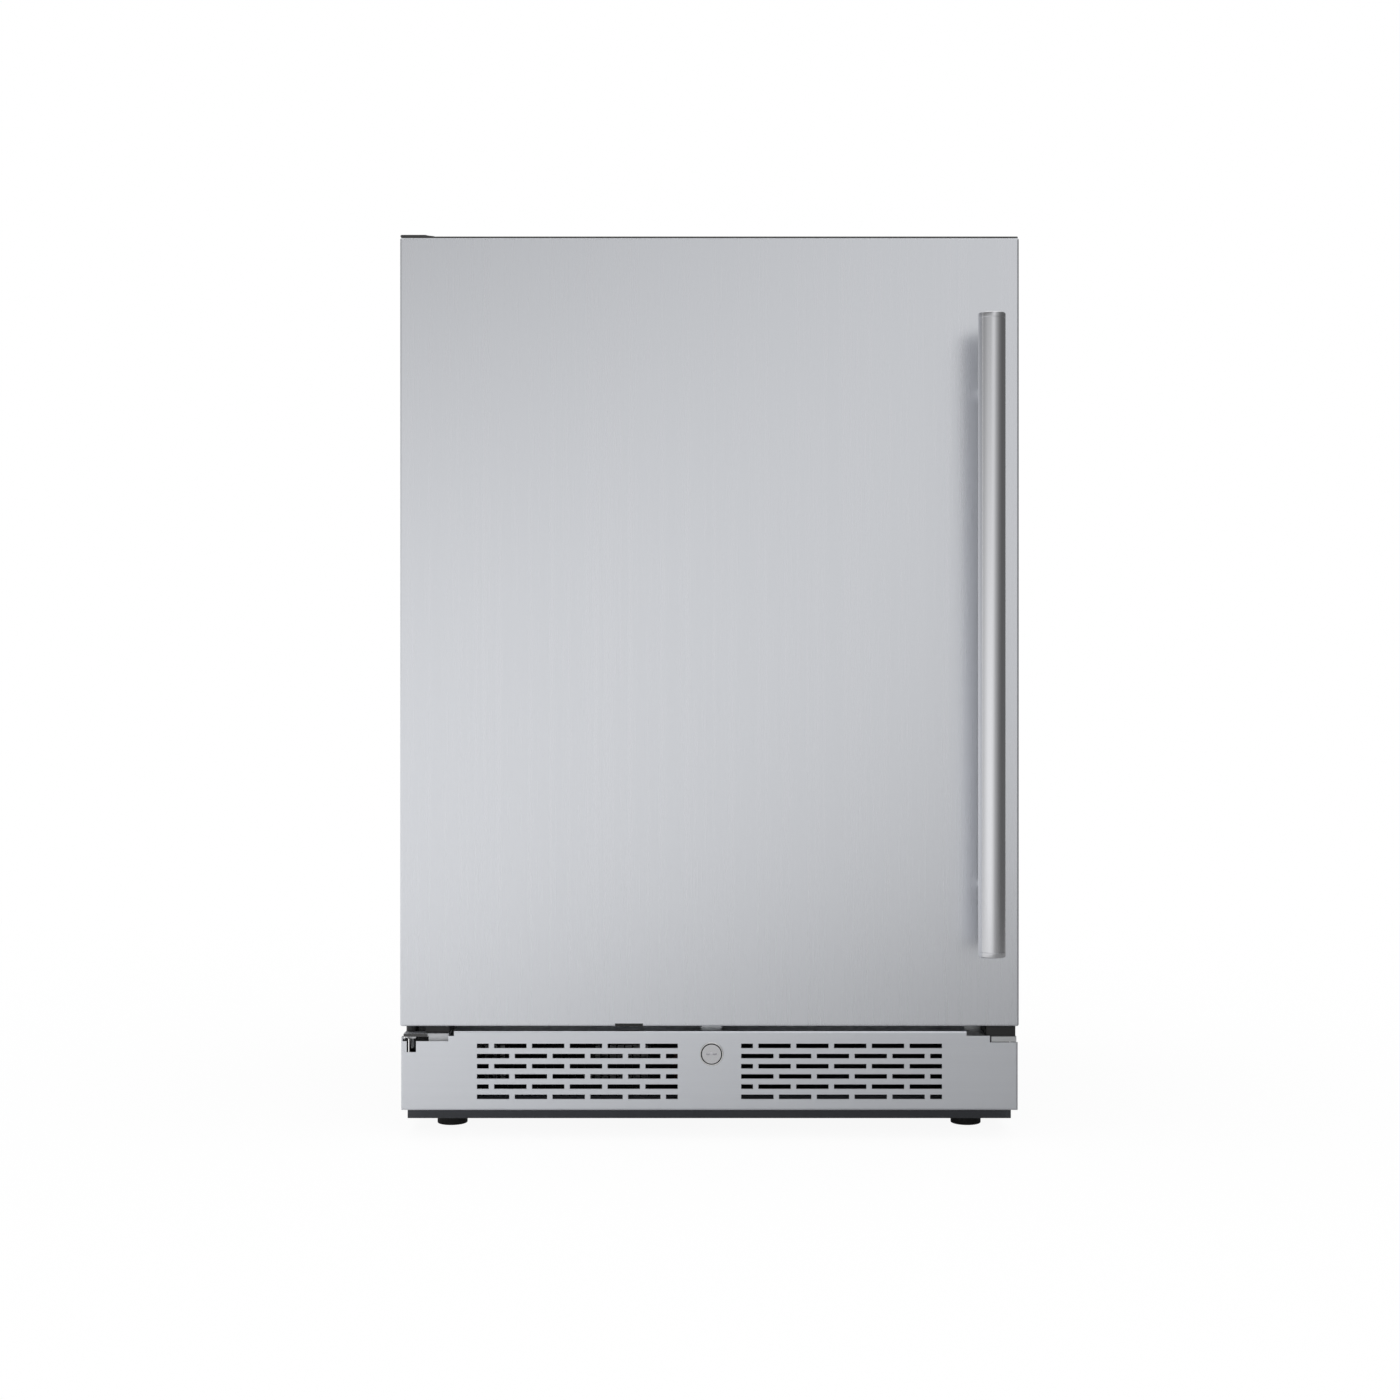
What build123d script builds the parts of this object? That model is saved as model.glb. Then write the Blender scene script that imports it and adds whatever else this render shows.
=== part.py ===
"""Undercounter refrigerator with a left-hinged steel door, a front-vented base and a bar handle.

Millimetres, +Z up. The front faces -Y and +X is the handle side. The origin is on the floor, below
the middle of the overall box. Depths ("d") are counted back from the door's front face, and d()
turns them into Y.
"""
import math
import os

from build123d import *

# ---------------------------------------------------------------- driving dimensions
DOOR_WIDTH = 596.0
DOOR_THICK = 42.0
DOOR_BOTTOM = 108.8
DOOR_TOP = 868.1
DOOR_EDGE_RADIUS = 2.0
DOOR_SHEET = 1.0
GASKET_GAP = 8.0

CABINET_WIDTH = 593.0
CABINET_DEPTH = 535.0
CABINET_TOP = 870.0
SHEET = 1.0
BASE_BOTTOM = 12.0
BASE_TOP = 14.0
UNDERSIDE_TOP = 123.0
STEP_TOP = 331.0
STEP_DEPTH = 386.0

HANDLE_RADIUS = 12.7
HANDLE_LENGTH = 600.0
HANDLE_REACH = 60.0
HANDLE_X = 263.0
HANDLE_BOTTOM = 183.5
STANDOFF_INSET = 62.0

CAVITY_HALF = 260.0
CAVITY_FLOOR = 158.0
CAVITY_CEILING = 832.0
CAVITY_DEPTH = 533.5
LINER_WALL = 1.5

GRILLE_BOTTOM = 28.0
GRILLE_TOP = 104.3
GRILLE_WIDTH = 594.0
SLOT_ROWS = 6
SLOT_PITCH_Z = 9.8
SLOT_TOP_ROW = 90.0
SLOT_HEIGHT = 4.4
SLOT_LONG = 31.2
SLOT_SHORT = 11.4
SLOT_GAP = 5.2
SLOT_GROUP_INNER = 30.5

LOCK_X = 2.0
LOCK_Z = 82.3
LOCK_TRAVEL = 8.0

HINGE_X = -288.5
HINGE_DEPTH = 21.0
PIN_RADIUS = 4.0
RUNNING_GAP = 0.05
PART_GAP = 0.3

FOOT_X = 257.0
FOOT_DEPTHS = (78.0, 540.0)
FOOT_RADIUS = 15.0
FOOT_STUD_RADIUS = 5.0

SHELF_TOPS = (394.0, 520.0, 646.0)
GLASS = 4.0
FAN_COVER_DEPTH = 480.0
FAN_X = 0.0
FAN_Z = 730.0

# ---------------------------------------------------------------- derived places
OVERALL_DEPTH = HANDLE_RADIUS + HANDLE_REACH + DOOR_THICK + GASKET_GAP + CABINET_DEPTH
DOOR_FACE_Y = HANDLE_RADIUS + HANDLE_REACH - OVERALL_DEPTH / 2
CABINET_FRONT = DOOR_THICK + GASKET_GAP
BACK = CABINET_FRONT + CABINET_DEPTH
BACK_PANEL = BACK - 8.0
CAB = CABINET_WIDTH / 2
IN = CAB - SHEET
DOOR = DOOR_WIDTH / 2
OPENING_HALF = CAVITY_HALF + 8.0
OPENING_BOTTOM = CAVITY_FLOOR - 8.0
OPENING_TOP = CAVITY_CEILING + 8.0
LINER_STEP_DEPTH = STEP_DEPTH - 37.0
LINER_STEP_TOP = STEP_TOP + 41.0
PAST = 5.0


def d(depth):
    """Y of a plane that lies this far behind the door's front face."""
    return DOOR_FACE_Y + depth


def block(x0, x1, d0, d1, z0, z1):
    """Box between two corners, with depths d0 to d1."""
    place = Pos((x0 + x1) / 2, d((d0 + d1) / 2), (z0 + z1) / 2)
    return place * Box(x1 - x0, d1 - d0, z1 - z0)


def post(x, depth, z0, z1, radius):
    """Upright cylinder from z0 to z1."""
    return Pos(x, d(depth), (z0 + z1) / 2) * Cylinder(radius, z1 - z0)


def bar_y(x, z, d0, d1, radius):
    """Cylinder that runs front to back."""
    return Pos(x, d((d0 + d1) / 2), z) * Rot(90, 0, 0) * Cylinder(radius, d1 - d0)


def bar_x(depth, z, x0, x1, radius):
    """Cylinder that runs side to side."""
    return Pos((x0 + x1) / 2, d(depth), z) * Rot(0, 90, 0) * Cylinder(radius, x1 - x0)


def tube(points, radius, bend):
    """Round line along straight runs joined by arcs; points are (x, depth, z)."""
    corners = [Vector(x, d(depth), z) for x, depth, z in points]
    path = FilletPolyline(*corners, radius=bend)
    start = Plane(path @ 0, z_dir=path % 0)
    return sweep(start * Circle(radius), path)


def group(pieces):
    """Separate solids kept as one node."""
    return Compound([solid for piece in pieces for solid in piece.solids()])


def save(shape, name):
    """Write one node."""
    shape.label = name
    export_step(shape, f"parts/{name}.step")


# ---------------------------------------------------------------- cabinet shells
SCREW_RADIUS = 2.0
SCREW_HEAD = 4.2
SCREW_HEAD_HEIGHT = 2.4
SCREW_END = 3.0
TOP_SCREW_LENGTH = 12.0
TOP_SCREW_HEAD = 1.4
REAR_SCREW_LENGTH = 11.0
REAR_FLANGE = 16.0
REAR_SCREW_X = IN - REAR_FLANGE / 2
REAR_SCREW_Z = (60.0, 190.0, 310.0)
REAR_SCREWS = [(side * REAR_SCREW_X, z) for side in (-1, 1) for z in REAR_SCREW_Z]
SUCTION = (175.0, 500.0, 3.5)
CAPILLARY = (-30.0, 520.0, 1.2)
DRAIN = (-150.0, 505.0, 8.0)
HOLE_REACH = 40.0
SCREW_HOLE_DEPTH = 16.0


def service_holes(*lines):
    """Upright cutters for the lines that run from the cavity down to the machine space."""
    cutters = [post(x, depth, STEP_TOP - HOLE_REACH, LINER_STEP_TOP + HOLE_REACH, radius)
               for x, depth, radius in lines]
    return group(cutters)


def cabinet_wrapper():
    """Sides and top bent from one sheet, with a front face frame and rear screw flanges."""
    shell = block(-CAB, CAB, CABINET_FRONT, BACK, BASE_TOP, CABINET_TOP)
    shell -= block(-IN, IN, CABINET_FRONT - PAST, BACK + PAST, BASE_TOP - PAST, CABINET_TOP - SHEET)
    face = block(-IN, IN, CABINET_FRONT, CABINET_FRONT + SHEET, OPENING_BOTTOM, CABINET_TOP - SHEET)
    face -= block(-OPENING_HALF, OPENING_HALF, CABINET_FRONT - PAST, CABINET_FRONT + PAST,
                  OPENING_BOTTOM - PAST, OPENING_TOP)
    shell += face
    for side in (-1, 1):
        edge = sorted((side * IN, side * (IN - REAR_FLANGE)))
        shell += block(edge[0], edge[1], BACK_PANEL - SHEET, BACK_PANEL, BASE_TOP, CABINET_TOP - SHEET)
    for x, z in REAR_SCREWS:
        shell -= bar_y(x, z, BACK_PANEL - PAST, BACK_PANEL + PAST, SCREW_RADIUS)
    for x, depth in TOP_SCREWS:
        shell -= post(x, depth, CABINET_TOP - PAST, CABINET_TOP + PAST, SCREW_RADIUS)
    return shell


def cabinet_underside():
    """Stepped floor of the insulated box, with the flange that the lower brackets bolt to."""
    floor = block(-IN, IN, CABINET_FRONT, STEP_DEPTH, UNDERSIDE_TOP - SHEET, UNDERSIDE_TOP)
    riser = block(-IN, IN, STEP_DEPTH - SHEET, STEP_DEPTH, UNDERSIDE_TOP - SHEET, STEP_TOP)
    shelf = block(-IN, IN, STEP_DEPTH - SHEET, BACK_PANEL - SHEET, STEP_TOP - SHEET, STEP_TOP)
    flange = block(-IN, IN, CABINET_FRONT, CABINET_FRONT + SHEET, FLANGE_BOTTOM, OPENING_BOTTOM)
    panel = floor + riser + shelf + flange - service_holes(SUCTION, CAPILLARY, DRAIN)
    for x, z in BRACKET_SCREWS:
        panel -= bar_y(x, z, CABINET_FRONT - PAST, CABINET_FRONT + PAST, SCREW_RADIUS)
    return panel


def liner_block(grow, front):
    """Stepped block of the cavity, grown outwards by a wall."""
    shape = block(-CAVITY_HALF - grow, CAVITY_HALF + grow, front, CAVITY_DEPTH + grow,
                  CAVITY_FLOOR - grow, CAVITY_CEILING + grow)
    return shape - block(-CAB, CAB, LINER_STEP_DEPTH + grow, BACK, BASE_TOP, LINER_STEP_TOP - grow)


RAIL_REACH = 7.0
RAIL_HEIGHT = 6.0
RAIL_FRONT = 92.0
RAIL_BACK = 462.0


def inner_liner():
    """Moulded liner as touching flat walls: a stepped box with a front lip."""
    wall = LINER_WALL
    out = CAVITY_HALF + wall
    low = CAVITY_FLOOR - wall
    high = CAVITY_CEILING + wall
    front = CABINET_FRONT
    step = LINER_STEP_TOP - wall
    walls = [block(-out, out, front, CAVITY_DEPTH + wall, CAVITY_CEILING, high),
             block(-CAVITY_HALF, CAVITY_HALF, CAVITY_DEPTH, CAVITY_DEPTH + wall, step, CAVITY_CEILING),
             block(-CAVITY_HALF, CAVITY_HALF, front, LINER_STEP_DEPTH + wall, low, CAVITY_FLOOR),
             block(-CAVITY_HALF, CAVITY_HALF, LINER_STEP_DEPTH, LINER_STEP_DEPTH + wall, CAVITY_FLOOR, step),
             block(-CAVITY_HALF, CAVITY_HALF, LINER_STEP_DEPTH, CAVITY_DEPTH, step, LINER_STEP_TOP),
             block(-out, out, front, front + wall, high, OPENING_TOP),
             block(-out, out, front, front + wall, OPENING_BOTTOM, low)]
    for side in (-1, 1):
        near, far = sorted((side * CAVITY_HALF, side * out))
        walls.append(block(near, far, front, LINER_STEP_DEPTH + wall, low, step))
        walls.append(block(near, far, front, CAVITY_DEPTH + wall, step, CAVITY_CEILING))
        near, far = sorted((side * out, side * OPENING_HALF))
        walls.append(block(near, far, front, front + wall, OPENING_BOTTOM, OPENING_TOP))
    walls[4] -= service_holes(SUCTION, CAPILLARY, DRAIN)
    return group(walls)


def shelf_rails():
    """Six moulded rails on the liner's sides that carry the panes."""
    rails = []
    for top in SHELF_TOPS:
        for side in (-1, 1):
            edge = sorted((side * CAVITY_HALF, side * (CAVITY_HALF - RAIL_REACH)))
            rails.append(block(edge[0], edge[1], RAIL_FRONT, RAIL_BACK,
                               top - GLASS - RAIL_HEIGHT, top - GLASS))
    return group(rails)


def cabinet_foam():
    """Foamed-in insulation between the liner and the outer sheets."""
    front = CABINET_FRONT + LINER_WALL
    foam = block(-IN, IN, front, BACK_PANEL - SHEET, UNDERSIDE_TOP, CABINET_TOP - SHEET)
    foam -= block(-CAB, CAB, STEP_DEPTH - SHEET, BACK, BASE_TOP, STEP_TOP)
    foam -= liner_block(LINER_WALL, CABINET_FRONT - PAST)
    foam -= service_holes(SUCTION, CAPILLARY, DRAIN)
    for x, depth in TOP_SCREWS:
        foam -= post(x, depth, CABINET_TOP - SCREW_HOLE_DEPTH, CABINET_TOP, SCREW_RADIUS + PART_GAP)
    return foam


COVER_LAP = 6.0
LOUVRE_COLUMNS = (-150.0, 0.0, 150.0)
LOUVRE_COUNT = 9
LOUVRE_BOTTOM = 130.0
LOUVRE_PITCH = 13.0
LOUVRE_WIDTH = 60.0
LOUVRE_HEIGHT = 4.0
GLAND_X = -225.0
GLAND_Z = 60.0
GLAND_RADIUS = 9.0
GLAND_BORE = 4.2
GLAND_FRONT = BACK_PANEL - 12.0
GLAND_END = BACK_PANEL + 5.0
GLAND_COLLAR = 4.0
GLAND_CLIP = 3.0
GLAND_CLIP_FRONT = BACK_PANEL - 8.0


def cabinet_back():
    """Flat rear sheet of the insulated box."""
    return block(-IN, IN, BACK_PANEL - SHEET, BACK_PANEL, STEP_TOP, CABINET_TOP - SHEET) - rear_flanges()


def rear_flanges():
    """Space that the wrapper's rear flanges fill."""
    cut = block(-CAB, -IN + REAR_FLANGE, BACK_PANEL - SHEET, BACK_PANEL, BASE_TOP, CABINET_TOP)
    return cut + block(IN - REAR_FLANGE, CAB, BACK_PANEL - SHEET, BACK_PANEL, BASE_TOP, CABINET_TOP)


def rear_cover():
    """Removable cover of the machine space, with three columns of air slots."""
    cover = block(-IN, IN, BACK_PANEL, BACK_PANEL + SHEET, BASE_TOP, STEP_TOP + COVER_LAP)
    for column in LOUVRE_COLUMNS:
        for row in range(LOUVRE_COUNT):
            z = LOUVRE_BOTTOM + row * LOUVRE_PITCH
            cover -= block(column - LOUVRE_WIDTH / 2, column + LOUVRE_WIDTH / 2, BACK_PANEL - PAST,
                           BACK_PANEL + PAST, z, z + LOUVRE_HEIGHT)
    for x, z in REAR_SCREWS:
        cover -= bar_y(x, z, BACK_PANEL - PAST, BACK_PANEL + PAST, SCREW_RADIUS)
    return cover - bar_y(GLAND_X, GLAND_Z, BACK_PANEL - PAST, BACK_PANEL + PAST, GLAND_RADIUS)


def cord_gland():
    """Bushing in the rear cover, with the bore that a mains lead leaves through."""
    gland = bar_y(GLAND_X, GLAND_Z, GLAND_FRONT, BACK_PANEL + SHEET, GLAND_RADIUS)
    gland += bar_y(GLAND_X, GLAND_Z, BACK_PANEL + SHEET, GLAND_END, GLAND_RADIUS + GLAND_COLLAR)
    gland += bar_y(GLAND_X, GLAND_Z, GLAND_CLIP_FRONT, BACK_PANEL, GLAND_RADIUS + GLAND_CLIP)
    return gland - bar_y(GLAND_X, GLAND_Z, GLAND_FRONT - PAST, GLAND_END + PAST, GLAND_BORE)


# ---------------------------------------------------------------- base, feet and grille
BASE_RAIL_DEPTH = 40.0
BASE_RAIL_SHEET = 1.5
BASE_RAIL_TOP = 34.0
BOSS_RADIUS = 9.0
BOSS_TOP = 26.0
COMPRESSOR_X = 80.0
COMPRESSOR_DEPTH = 485.0
MOUNT_X = 82.0
MOUNT_D = 58.0
MOUNT_STUD = 3.6
MOUNT_STUD_TOP = 42.0
FOOT_ROUND = 2.5
FOOT_STUD_TOP = 40.0
FEET = [(side * FOOT_X, depth) for depth in FOOT_DEPTHS for side in (-1, 1)]
COMPRESSOR_MOUNTS = [(COMPRESSOR_X + i * MOUNT_X, COMPRESSOR_DEPTH + j * MOUNT_D)
                     for i in (-1, 1) for j in (-1, 1)]


def base_pan():
    """Steel base with a front rail, foot bosses and pressed studs for the compressor."""
    pan = block(-CAB, CAB, BASE_RAIL_DEPTH, BACK, BASE_BOTTOM, BASE_TOP)
    pan += block(-CAB, CAB, BASE_RAIL_DEPTH, BASE_RAIL_DEPTH + BASE_RAIL_SHEET, BASE_TOP, BASE_RAIL_TOP)
    for x, depth in FEET:
        pan += post(x, depth, BASE_TOP, BOSS_TOP, BOSS_RADIUS)
        pan -= post(x, depth, 0, BOSS_TOP + PAST, FOOT_STUD_RADIUS + RUNNING_GAP)
    for x, depth in COMPRESSOR_MOUNTS:
        pan += post(x, depth, BASE_TOP, MOUNT_STUD_TOP, MOUNT_STUD)
    return pan


def levelling_foot(x, depth):
    """Round glide on a threaded stud."""
    pad = post(x, depth, 0, BASE_BOTTOM - PART_GAP, FOOT_RADIUS)
    pad = fillet(pad.edges().sort_by(Axis.Z)[0], FOOT_ROUND)
    return pad + post(x, depth, BASE_BOTTOM - PART_GAP, FOOT_STUD_TOP, FOOT_STUD_RADIUS)


GRILLE_SHEET = 1.2
GRILLE_BEND = 2.0
# Steps cut in the grille's front: (x0, x1, lowest z).
FRONT_STEPS = ((-300.0, -251.5, 94.5), (-251.5, -246.0, 99.5), (-291.5, -282.5, 84.0),
               (247.5, 270.0, 99.7), (270.0, 300.0, 93.4))
# Room for the brackets behind the front: (x0, x1, near, far, lowest z).
BACK_STEPS = ((-300.0, -246.0, GRILLE_BEND, 45.0, 98.0), (-300.0, -279.0, 10.0, 32.0, 93.8),
              (-293.0, -284.0, GRILLE_BEND, 28.0, 83.0), (-272.5, -250.0, GRILLE_BEND, 8.0, 93.0),
              (247.5, 300.0, GRILLE_BEND, 45.0, 92.0))
LOCK_BARREL_RADIUS = 10.6
BOLT_HALF = 10.0
BOLT_FRONT = 19.0
BOLT_BACK = 23.0
BOLT_TOP = 107.0
GUIDE_WALL = 1.5
GUIDE_EAR = 3.0
GUIDE_BOTTOM = 93.0


def slot_row(start, row):
    """One row of slots: a short slot leads on even rows and ends the odd ones."""
    lengths = [SLOT_SHORT] + [SLOT_LONG] * 5
    if row % 2:
        lengths.reverse()
    z = SLOT_TOP_ROW - row * SLOT_PITCH_Z
    x = start
    slots = []
    for length in lengths:
        slots.append(block(x, x + length, -PAST, PAST, z - SLOT_HEIGHT / 2, z + SLOT_HEIGHT / 2))
        x += length + SLOT_GAP
    return slots


def bolt_guide():
    """Folded guide, welded under the grille's top, that the lock bolt slides in."""
    reach = BOLT_HALF + GUIDE_EAR
    guide = block(LOCK_X - reach, LOCK_X + reach, BOLT_FRONT - GUIDE_WALL, BOLT_BACK + GUIDE_WALL,
                  GUIDE_BOTTOM, GRILLE_TOP - GRILLE_SHEET)
    return guide - block(LOCK_X - BOLT_HALF - PART_GAP, LOCK_X + BOLT_HALF + PART_GAP,
                         BOLT_FRONT - PART_GAP, BOLT_BACK + PART_GAP, GUIDE_BOTTOM - PAST, GRILLE_TOP)


def kick_grille():
    """Vented steel front of the base: a shallow tray with its corners notched for the brackets."""
    half = GRILLE_WIDTH / 2
    tray = block(-half, half, 0, BASE_RAIL_DEPTH, GRILLE_BOTTOM, GRILLE_TOP)
    front_edges = tray.faces().sort_by(Axis.Y)[0].edges()
    tray = fillet(front_edges, GRILLE_BEND)
    tray -= block(-half + GRILLE_SHEET, half - GRILLE_SHEET, GRILLE_SHEET, BASE_RAIL_DEPTH + PAST,
                  GRILLE_BOTTOM + GRILLE_SHEET, GRILLE_TOP - GRILLE_SHEET)
    for x0, x1, low in FRONT_STEPS:
        tray -= block(x0, x1, -PAST, GRILLE_BEND, low, DOOR_BOTTOM)
    for x0, x1, near, far, low in BACK_STEPS:
        tray -= block(x0, x1, near, far, low, DOOR_BOTTOM)
    group_length = SLOT_SHORT + 5 * SLOT_LONG + 5 * SLOT_GAP
    for start in (-SLOT_GROUP_INNER - group_length, SLOT_GROUP_INNER):
        for row in range(SLOT_ROWS):
            for slot in slot_row(start, row):
                tray -= slot
    tray -= bar_y(LOCK_X, LOCK_Z, -PAST, PAST, LOCK_BARREL_RADIUS)
    tray -= block(LOCK_X - BOLT_HALF - 1, LOCK_X + BOLT_HALF + 1, BOLT_FRONT - 1, BOLT_BACK + 1,
                  GRILLE_TOP - PAST, GRILLE_TOP + PAST)
    return tray + bolt_guide()


# ---------------------------------------------------------------- lock
FLANGE_RADIUS = 11.5
FLANGE_FRONT = -1.8
FLANGE_ROUND = 0.9
PLUG_RADIUS = 9.2
PLUG_FRONT = -1.4
PLUG_BACK = 14.0
PLUG_END_GAP = 0.2
BARREL_END = 1.0
KEY_HALF = 5.0
KEY_THICK = 0.9
KEY_RIB_HALF = 1.6
KEY_RIB_TOP = 2.4
KEY_DEPTH = 8.0
NUT_RADIUS = 15.0
NUT_THICK = 4.0
TAIL_RADIUS = 4.0
CRANK = LOCK_TRAVEL / math.sqrt(2)
CRANK_PIN = 2.0
CRANK_RIM = 0.8
CRANK_DISC = 1.7
CRANK_GAP = 0.5
CRANK_SLACK = 0.4
REST_ANGLE = math.radians(-45)
BOLT_BOTTOM = 66.0
BOLT_CHAMFER = 2.0


def lock_barrel():
    """Fixed barrel with a flange in front of the grille."""
    barrel = bar_y(LOCK_X, LOCK_Z, FLANGE_FRONT, 0, FLANGE_RADIUS)
    rim = barrel.faces().sort_by(Axis.Y)[0].edges()
    barrel = fillet(rim, FLANGE_ROUND)
    barrel += bar_y(LOCK_X, LOCK_Z, 0, PLUG_BACK + BARREL_END, LOCK_BARREL_RADIUS)
    barrel -= bar_y(LOCK_X, LOCK_Z, -PAST, PLUG_BACK, PLUG_RADIUS + RUNNING_GAP)
    return barrel - bar_y(LOCK_X, LOCK_Z, 0, PLUG_BACK + PAST, TAIL_RADIUS + RUNNING_GAP)


def lock_nut():
    """Hexagon nut that clamps the barrel to the grille sheet."""
    hexagon = extrude(RegularPolygon(NUT_RADIUS, 6), NUT_THICK)
    nut = Pos(LOCK_X, d(GRILLE_SHEET + NUT_THICK), LOCK_Z) * Rot(90, 0, 0) * hexagon
    return nut - bar_y(LOCK_X, LOCK_Z, -PAST, BOLT_FRONT, LOCK_BARREL_RADIUS)


def lock_cylinder():
    """Turning plug with a keyway, and a crank pin on its tail."""
    low = LOCK_Z - KEY_THICK
    disc_back = BOLT_FRONT - CRANK_GAP
    plug = bar_y(LOCK_X, LOCK_Z, PLUG_FRONT, PLUG_BACK - PLUG_END_GAP, PLUG_RADIUS)
    plug -= block(LOCK_X - KEY_HALF, LOCK_X + KEY_HALF, -PAST, KEY_DEPTH, low, LOCK_Z + KEY_THICK)
    plug -= block(LOCK_X - KEY_RIB_HALF, LOCK_X + KEY_RIB_HALF, -PAST, KEY_DEPTH, low, LOCK_Z + KEY_RIB_TOP)
    plug += bar_y(LOCK_X, LOCK_Z, PLUG_BACK - PLUG_END_GAP, disc_back - CRANK_DISC, TAIL_RADIUS)
    plug += bar_y(LOCK_X, LOCK_Z, disc_back - CRANK_DISC, disc_back, CRANK + CRANK_PIN + CRANK_RIM)
    return plug + bar_y(LOCK_X + CRANK * math.cos(REST_ANGLE), LOCK_Z + CRANK * math.sin(REST_ANGLE),
                        disc_back, BOLT_BACK - CRANK_GAP, CRANK_PIN)


def lock_bolt():
    """Flat bolt lifted by the crank pin in its cross slot."""
    pin_z = LOCK_Z + CRANK * math.sin(REST_ANGLE)
    bolt = block(LOCK_X - BOLT_HALF, LOCK_X + BOLT_HALF, BOLT_FRONT, BOLT_BACK, BOLT_BOTTOM, BOLT_TOP)
    corners = bolt.edges().filter_by(Axis.Y).sort_by(Axis.Z)[-2:]
    bolt = chamfer(corners, BOLT_CHAMFER)
    slot = block(LOCK_X + 1, LOCK_X + CRANK + CRANK_PIN + 1, BOLT_FRONT - PAST, BOLT_BACK + PAST,
                 pin_z - CRANK_PIN - CRANK_SLACK, pin_z + CRANK_PIN + CRANK_SLACK)
    return bolt - slot


# ---------------------------------------------------------------- hinges and brackets
BRACKET_OUTER = 295.0
BRACKET_INNER = 251.7
PLATE = 2.7
PLATE_TOP = 101.0
PIN_EAR_INNER = 272.0
PIN_EAR_FRONT = 3.0
LIP_FRONT = 5.0
LIP_BOTTOM = 93.8
LIP_OUTER = 271.0
FLANGE_BOTTOM = 86.0
FLANGE_TOP = 120.0
STUD_RADIUS = 2.6
STUD_BOTTOM = 84.1
HINGE_NUT_RADIUS = 7.7
HINGE_NUT = 3.9
SPACER_OUTER = 294.6
SPACER_STEP = 274.0
SPACER_DEPTHS = (8.0, 20.0, 44.0)
THRUST_RADIUS = 6.0
RIGHT_PLATE_TOP = 99.0
RIGHT_PLATE = 5.0
RIGHT_PLATE_FRONT = (271.5, 295.5)
RIGHT_PLATE_BACK = 249.0
RIGHT_SPACER_X = (267.0, 295.0)
RIGHT_SPACER_DEPTHS = (3.0, 40.0)
TOP_PLATE = 2.0
TOP_PLATE_X = (-295.0, -275.0)
TOP_PLATE_FRONT = 12.0
TOP_PLATE_BACK = 112.0
RIVET_TOP = CABINET_TOP + 2.8
RIVET_RADIUS = 5.5
PIN_LIFT = 16.0
BUSH_RADIUS = 7.0
BRACKET_SCREWS = [(-276.0, 110.0), (-260.0, 110.0), (260.0, 110.0), (276.0, 110.0)]
TOP_SCREWS = [(-285.0, depth) for depth in (62.0, 82.0, 102.0)]


def lower_hinge_bracket():
    """Steel angle that carries the door's lower pin."""
    low = PLATE_TOP - PLATE
    plate = block(-BRACKET_OUTER, -PIN_EAR_INNER, PIN_EAR_FRONT, CABINET_FRONT, low, PLATE_TOP)
    plate += block(-PIN_EAR_INNER, -BRACKET_INNER, LIP_FRONT, CABINET_FRONT, low, PLATE_TOP)
    plate += block(-LIP_OUTER, -BRACKET_INNER, LIP_FRONT, LIP_FRONT + PLATE, LIP_BOTTOM, low)
    plate += block(-BRACKET_OUTER, -BRACKET_INNER, CABINET_FRONT - PLATE, CABINET_FRONT, FLANGE_BOTTOM,
                   FLANGE_TOP)
    plate -= post(HINGE_X, HINGE_DEPTH, low - PAST, PLATE_TOP + PAST, PIN_RADIUS)
    for x, z in BRACKET_SCREWS[:2]:
        plate -= bar_y(x, z, CABINET_FRONT - PAST, CABINET_FRONT + PAST, SCREW_RADIUS)
    return plate


def lower_hinge_pin():
    """Shouldered pin with its nut and the end of its thread below the bracket."""
    low = PLATE_TOP - PLATE
    pin = post(HINGE_X, HINGE_DEPTH, low, DOOR_BOTTOM + PIN_LIFT, PIN_RADIUS)
    pin += post(HINGE_X, HINGE_DEPTH, STUD_BOTTOM, low, STUD_RADIUS)
    return pin + Pos(HINGE_X, d(HINGE_DEPTH), low - HINGE_NUT) * extrude(RegularPolygon(HINGE_NUT_RADIUS, 6),
                                                                         HINGE_NUT)


def bracket_spacers():
    """Black blocks between the brackets and the door; the left one carries the door's weight."""
    top = DOOR_BOTTOM - PART_GAP
    near, middle, far = SPACER_DEPTHS
    left = block(-SPACER_OUTER, -BRACKET_INNER, middle, far, PLATE_TOP, top)
    left += block(-SPACER_STEP, -BRACKET_INNER, near, middle, PLATE_TOP, top)
    left += post(HINGE_X, HINGE_DEPTH, PLATE_TOP, top, THRUST_RADIUS)
    left -= post(HINGE_X, HINGE_DEPTH, PLATE_TOP - PAST, top + PAST, PIN_RADIUS)
    right = block(*RIGHT_SPACER_X, *RIGHT_SPACER_DEPTHS, RIGHT_PLATE_TOP, top)
    return group([left, right])


def right_bracket():
    """Heavier spare bracket for hanging the door on the other side."""
    near, far = RIGHT_PLATE_FRONT
    outline = Polyline((near, d(0)), (far, d(0)), (far, d(CABINET_FRONT)), (RIGHT_PLATE_BACK, d(CABINET_FRONT)),
                       close=True)
    plate = Pos(0, 0, RIGHT_PLATE_TOP - RIGHT_PLATE) * extrude(make_face(outline), RIGHT_PLATE)
    plate += block(BRACKET_INNER, BRACKET_OUTER, CABINET_FRONT - PLATE, CABINET_FRONT, RIGHT_PLATE_TOP,
                   FLANGE_TOP)
    for x, z in BRACKET_SCREWS[2:]:
        plate -= bar_y(x, z, CABINET_FRONT - PAST, CABINET_FRONT + PAST, SCREW_RADIUS)
    return plate


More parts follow.
